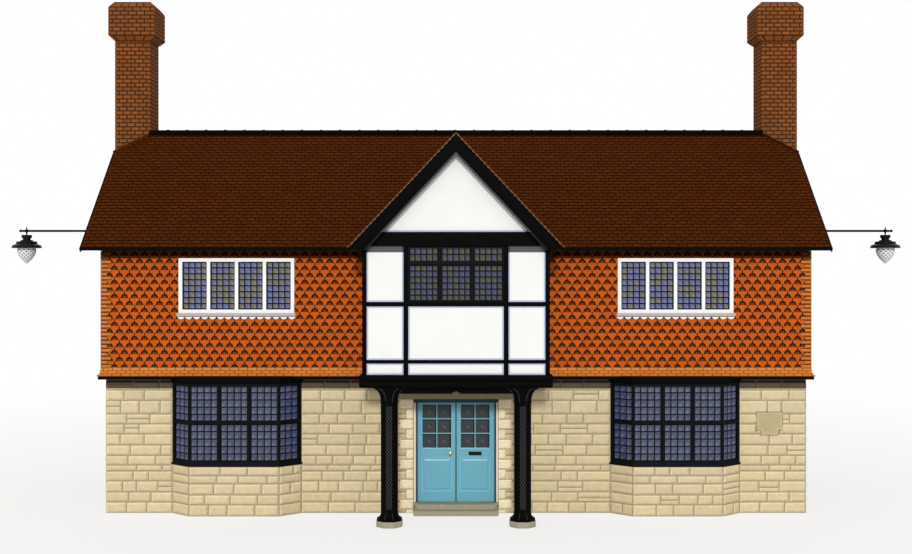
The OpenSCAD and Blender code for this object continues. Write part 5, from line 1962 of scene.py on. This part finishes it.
class HOUSE_OT_joinery(bpy.types.Operator):
    """Eases the edges of the timbers, frames and dressed stones, and finishes the other nodes"""

    bl_idname = "house.joinery"
    bl_label = "Joinery and Finishes"

    def execute(self, context):
        wood = context.scene.house_joinery
        stone = context.scene.house_masonry
        black, post, deep = [tarred_oak(wood, way) for way in ("lying", "upright", "inward")]
        grey = painted_wood("grey_painted_moulding", wood.moulding_colour, 0.55, "X", 0.2,
            wood.timber_colour, below_tie_beam)
        dark = painted_wood("dark_painted_sash", wood.frame_colour, 0.5, "Z", 0.06)
        white = painted_wood("white_painted_sash", wood.white_colour, 0.45, "Z")
        # The jamb's rebate and head take a dark painted shade
        cream = painted_wood("cream_painted_jamb", wood.surround_colour, 0.5, "Z", 0.3, linear("#1b3f4c"),
            door_rebate)
        # The doors take a dark painted shade along the gap where the leaves meet
        door = painted_wood("blue_painted_door", wood.door_colour, 0.38, "Z", 0.4, linear("#2c3437"),
            meeting_stiles)
        plaster = lime_plaster(wood.plaster_colour)
        steps = dressed_stone("worn_step_stone", stone.step_colour)
        bed = bedding_mortar()
        # Painted shade: the lintel's stone is darker, as in the shade under the jetty
        lintel = dressed_stone("rubbed_lintel_stone", linear("#9c8f72"))
        mortar = mortar_and_plaster("lime_mortar", stone.mortar_colour, linear("#e9e4d8"), WALL_X - 0.33,
            WALL_Y - 0.33, SKIRT_SHADE)
        batten = mortar_and_plaster("tile_batten_shade", linear("#4c2a12"), linear("#e9e4d8"),
            HUNG_X - 0.29, HUNG_Y - 0.29)
        soot = mortar_and_plaster("sooty_mortar", stone.brick_mortar, stone.brick_mortar, 0.1, 0.1)
        deck = boards("dark_soffit_boards", linear("#2a1a10"), 0.15)
        floor = boards("planed_floor_boards", linear("#9a7446"), 0.18)
        width = wood.arris
        for name, source, finish_with in (("bressummer_moulded", "bressummer", black),
                ("arch_board_cut", "arch_board", black), ("tie_beam_hewn", "tie_beam", black),
                ("front_frame_hewn", "chamber_front_frame", post),
                ("side_frames_hewn", "chamber_side_frames", post),
                ("bargeboards_planed", "bargeboards", black), ("side_beams_hewn", "porch_side_beams", deep),
                ("bay_heads_planed", "bay_heads", black)):
            eased(name, source, width, finish_with)
        eased("gable_moulding_planed", "bargeboard_moulding", width, grey)
        eased("bay_frames_planed", "bay_frames", 0.004, dark)
        eased("chamber_sash_planed", "chamber_window_frame", 0.003, dark)
        eased("casement_frames_planed", "window_frames", 0.005, white)
        eased("door_frame_planed", "door_frame", 0.006, cream)
        eased("steps_worn", "door_steps", 0.016, steps, cuts=3)
        eased("column_pads_worn", "column_pads", 0.018, steps, cuts=3)
        eased("lintel_rubbed", "door_lintel", 0.01, lintel)
        finish(mortar, "stone_wall_front_left", "stone_wall_front_right", "stone_wall_over_door")
        finish(mortar, "stone_walls_side", "stone_wall_back", "bay_bases")
        finish(batten, "hung_wall_front_left", "hung_wall_front_right", "hung_walls_side")
        finish(batten, "hung_wall_back", "tile_skirt")
        finish(soot, "chimney_left", "chimney_right")
        finish(deck, "roof_front_left", "roof_front_right", "roof_back")
        finish(deck, "gable_roof_left", "gable_roof_right")
        finish(floor, "upper_floor", "chamber_floor")
        finish(plaster, "chamber_panels")
        finish(bed, "door_quoins")
        finish(steps, "ground_floor")
        finish(black, "skirt_board", "eaves_boards")
        finish(deep, "verge_boards")
        finish(post, "porch_columns")
        finish(banded_paint(linear("#f6f6f4"), linear("#b2afb0"), WINDOW_Z[0] - 0.073), "window_aprons")
        finish(door, "door_leaf_left", "door_leaf_right")
        finish(black_iron(), "lamp_brackets")
        finish(black_iron("blacked_letter_plate", linear("#17191a")), "letter_plate")
        finish(polished_brass(), "door_knob")
        return {"FINISHED"}


class HOUSE_PT_panel(bpy.types.Panel):
    """Lists the house's settings and the steps that dress it"""

    bl_idname = "HOUSE_PT_panel"
    bl_label = "Half Timbered House"
    bl_space_type = "VIEW_3D"
    bl_region_type = "UI"
    bl_category = "House"

    def draw(self, context):
        layout = self.layout
        for name, kind in GROUPS.items():
            box = layout.box()
            box.label(text=name.removeprefix("house_").capitalize())
            for key in kind.__annotations__:
                box.prop(getattr(context.scene, name), key)
        for step in STEPS:
            layout.operator(step.bl_idname)


GROUPS = {"house_tiles": HouseTiles, "house_masonry": HouseMasonry, "house_joinery": HouseJoinery,
    "house_stage": HouseStage}
STEPS = (HOUSE_OT_stage, HOUSE_OT_joinery, HOUSE_OT_roof_tiles, HOUSE_OT_ridge_tiles, HOUSE_OT_hung_tiles,
    HOUSE_OT_corner_tiles, HOUSE_OT_skirt_tiles, HOUSE_OT_stones, HOUSE_OT_quoins, HOUSE_OT_plaque,
    HOUSE_OT_bricks, HOUSE_OT_verge_mouldings, HOUSE_OT_leaded_lights, HOUSE_OT_door_panes,
    HOUSE_OT_door_mouldings, HOUSE_OT_column_trellis, HOUSE_OT_lamp_hoods, HOUSE_OT_lamp_bowls)


def register():
    """Adds the settings, the steps and the panel."""
    for group in GROUPS.values():
        bpy.utils.register_class(group)
    for step in (*STEPS, HOUSE_PT_panel):
        bpy.utils.register_class(step)
    for name, group in GROUPS.items():
        setattr(bpy.types.Scene, name, bpy.props.PointerProperty(type=group))


def unregister():
    """Takes them away again."""
    for name in GROUPS:
        delattr(bpy.types.Scene, name)
    for step in (HOUSE_PT_panel, *reversed(STEPS)):
        bpy.utils.unregister_class(step)
    for group in reversed(GROUPS.values()):
        bpy.utils.unregister_class(group)


def main():
    """Builds the house step by step."""
    register()
    for step in STEPS:
        getattr(bpy.ops.house, step.bl_idname.removeprefix("house."))()


if __name__ == "__main__":
    main()
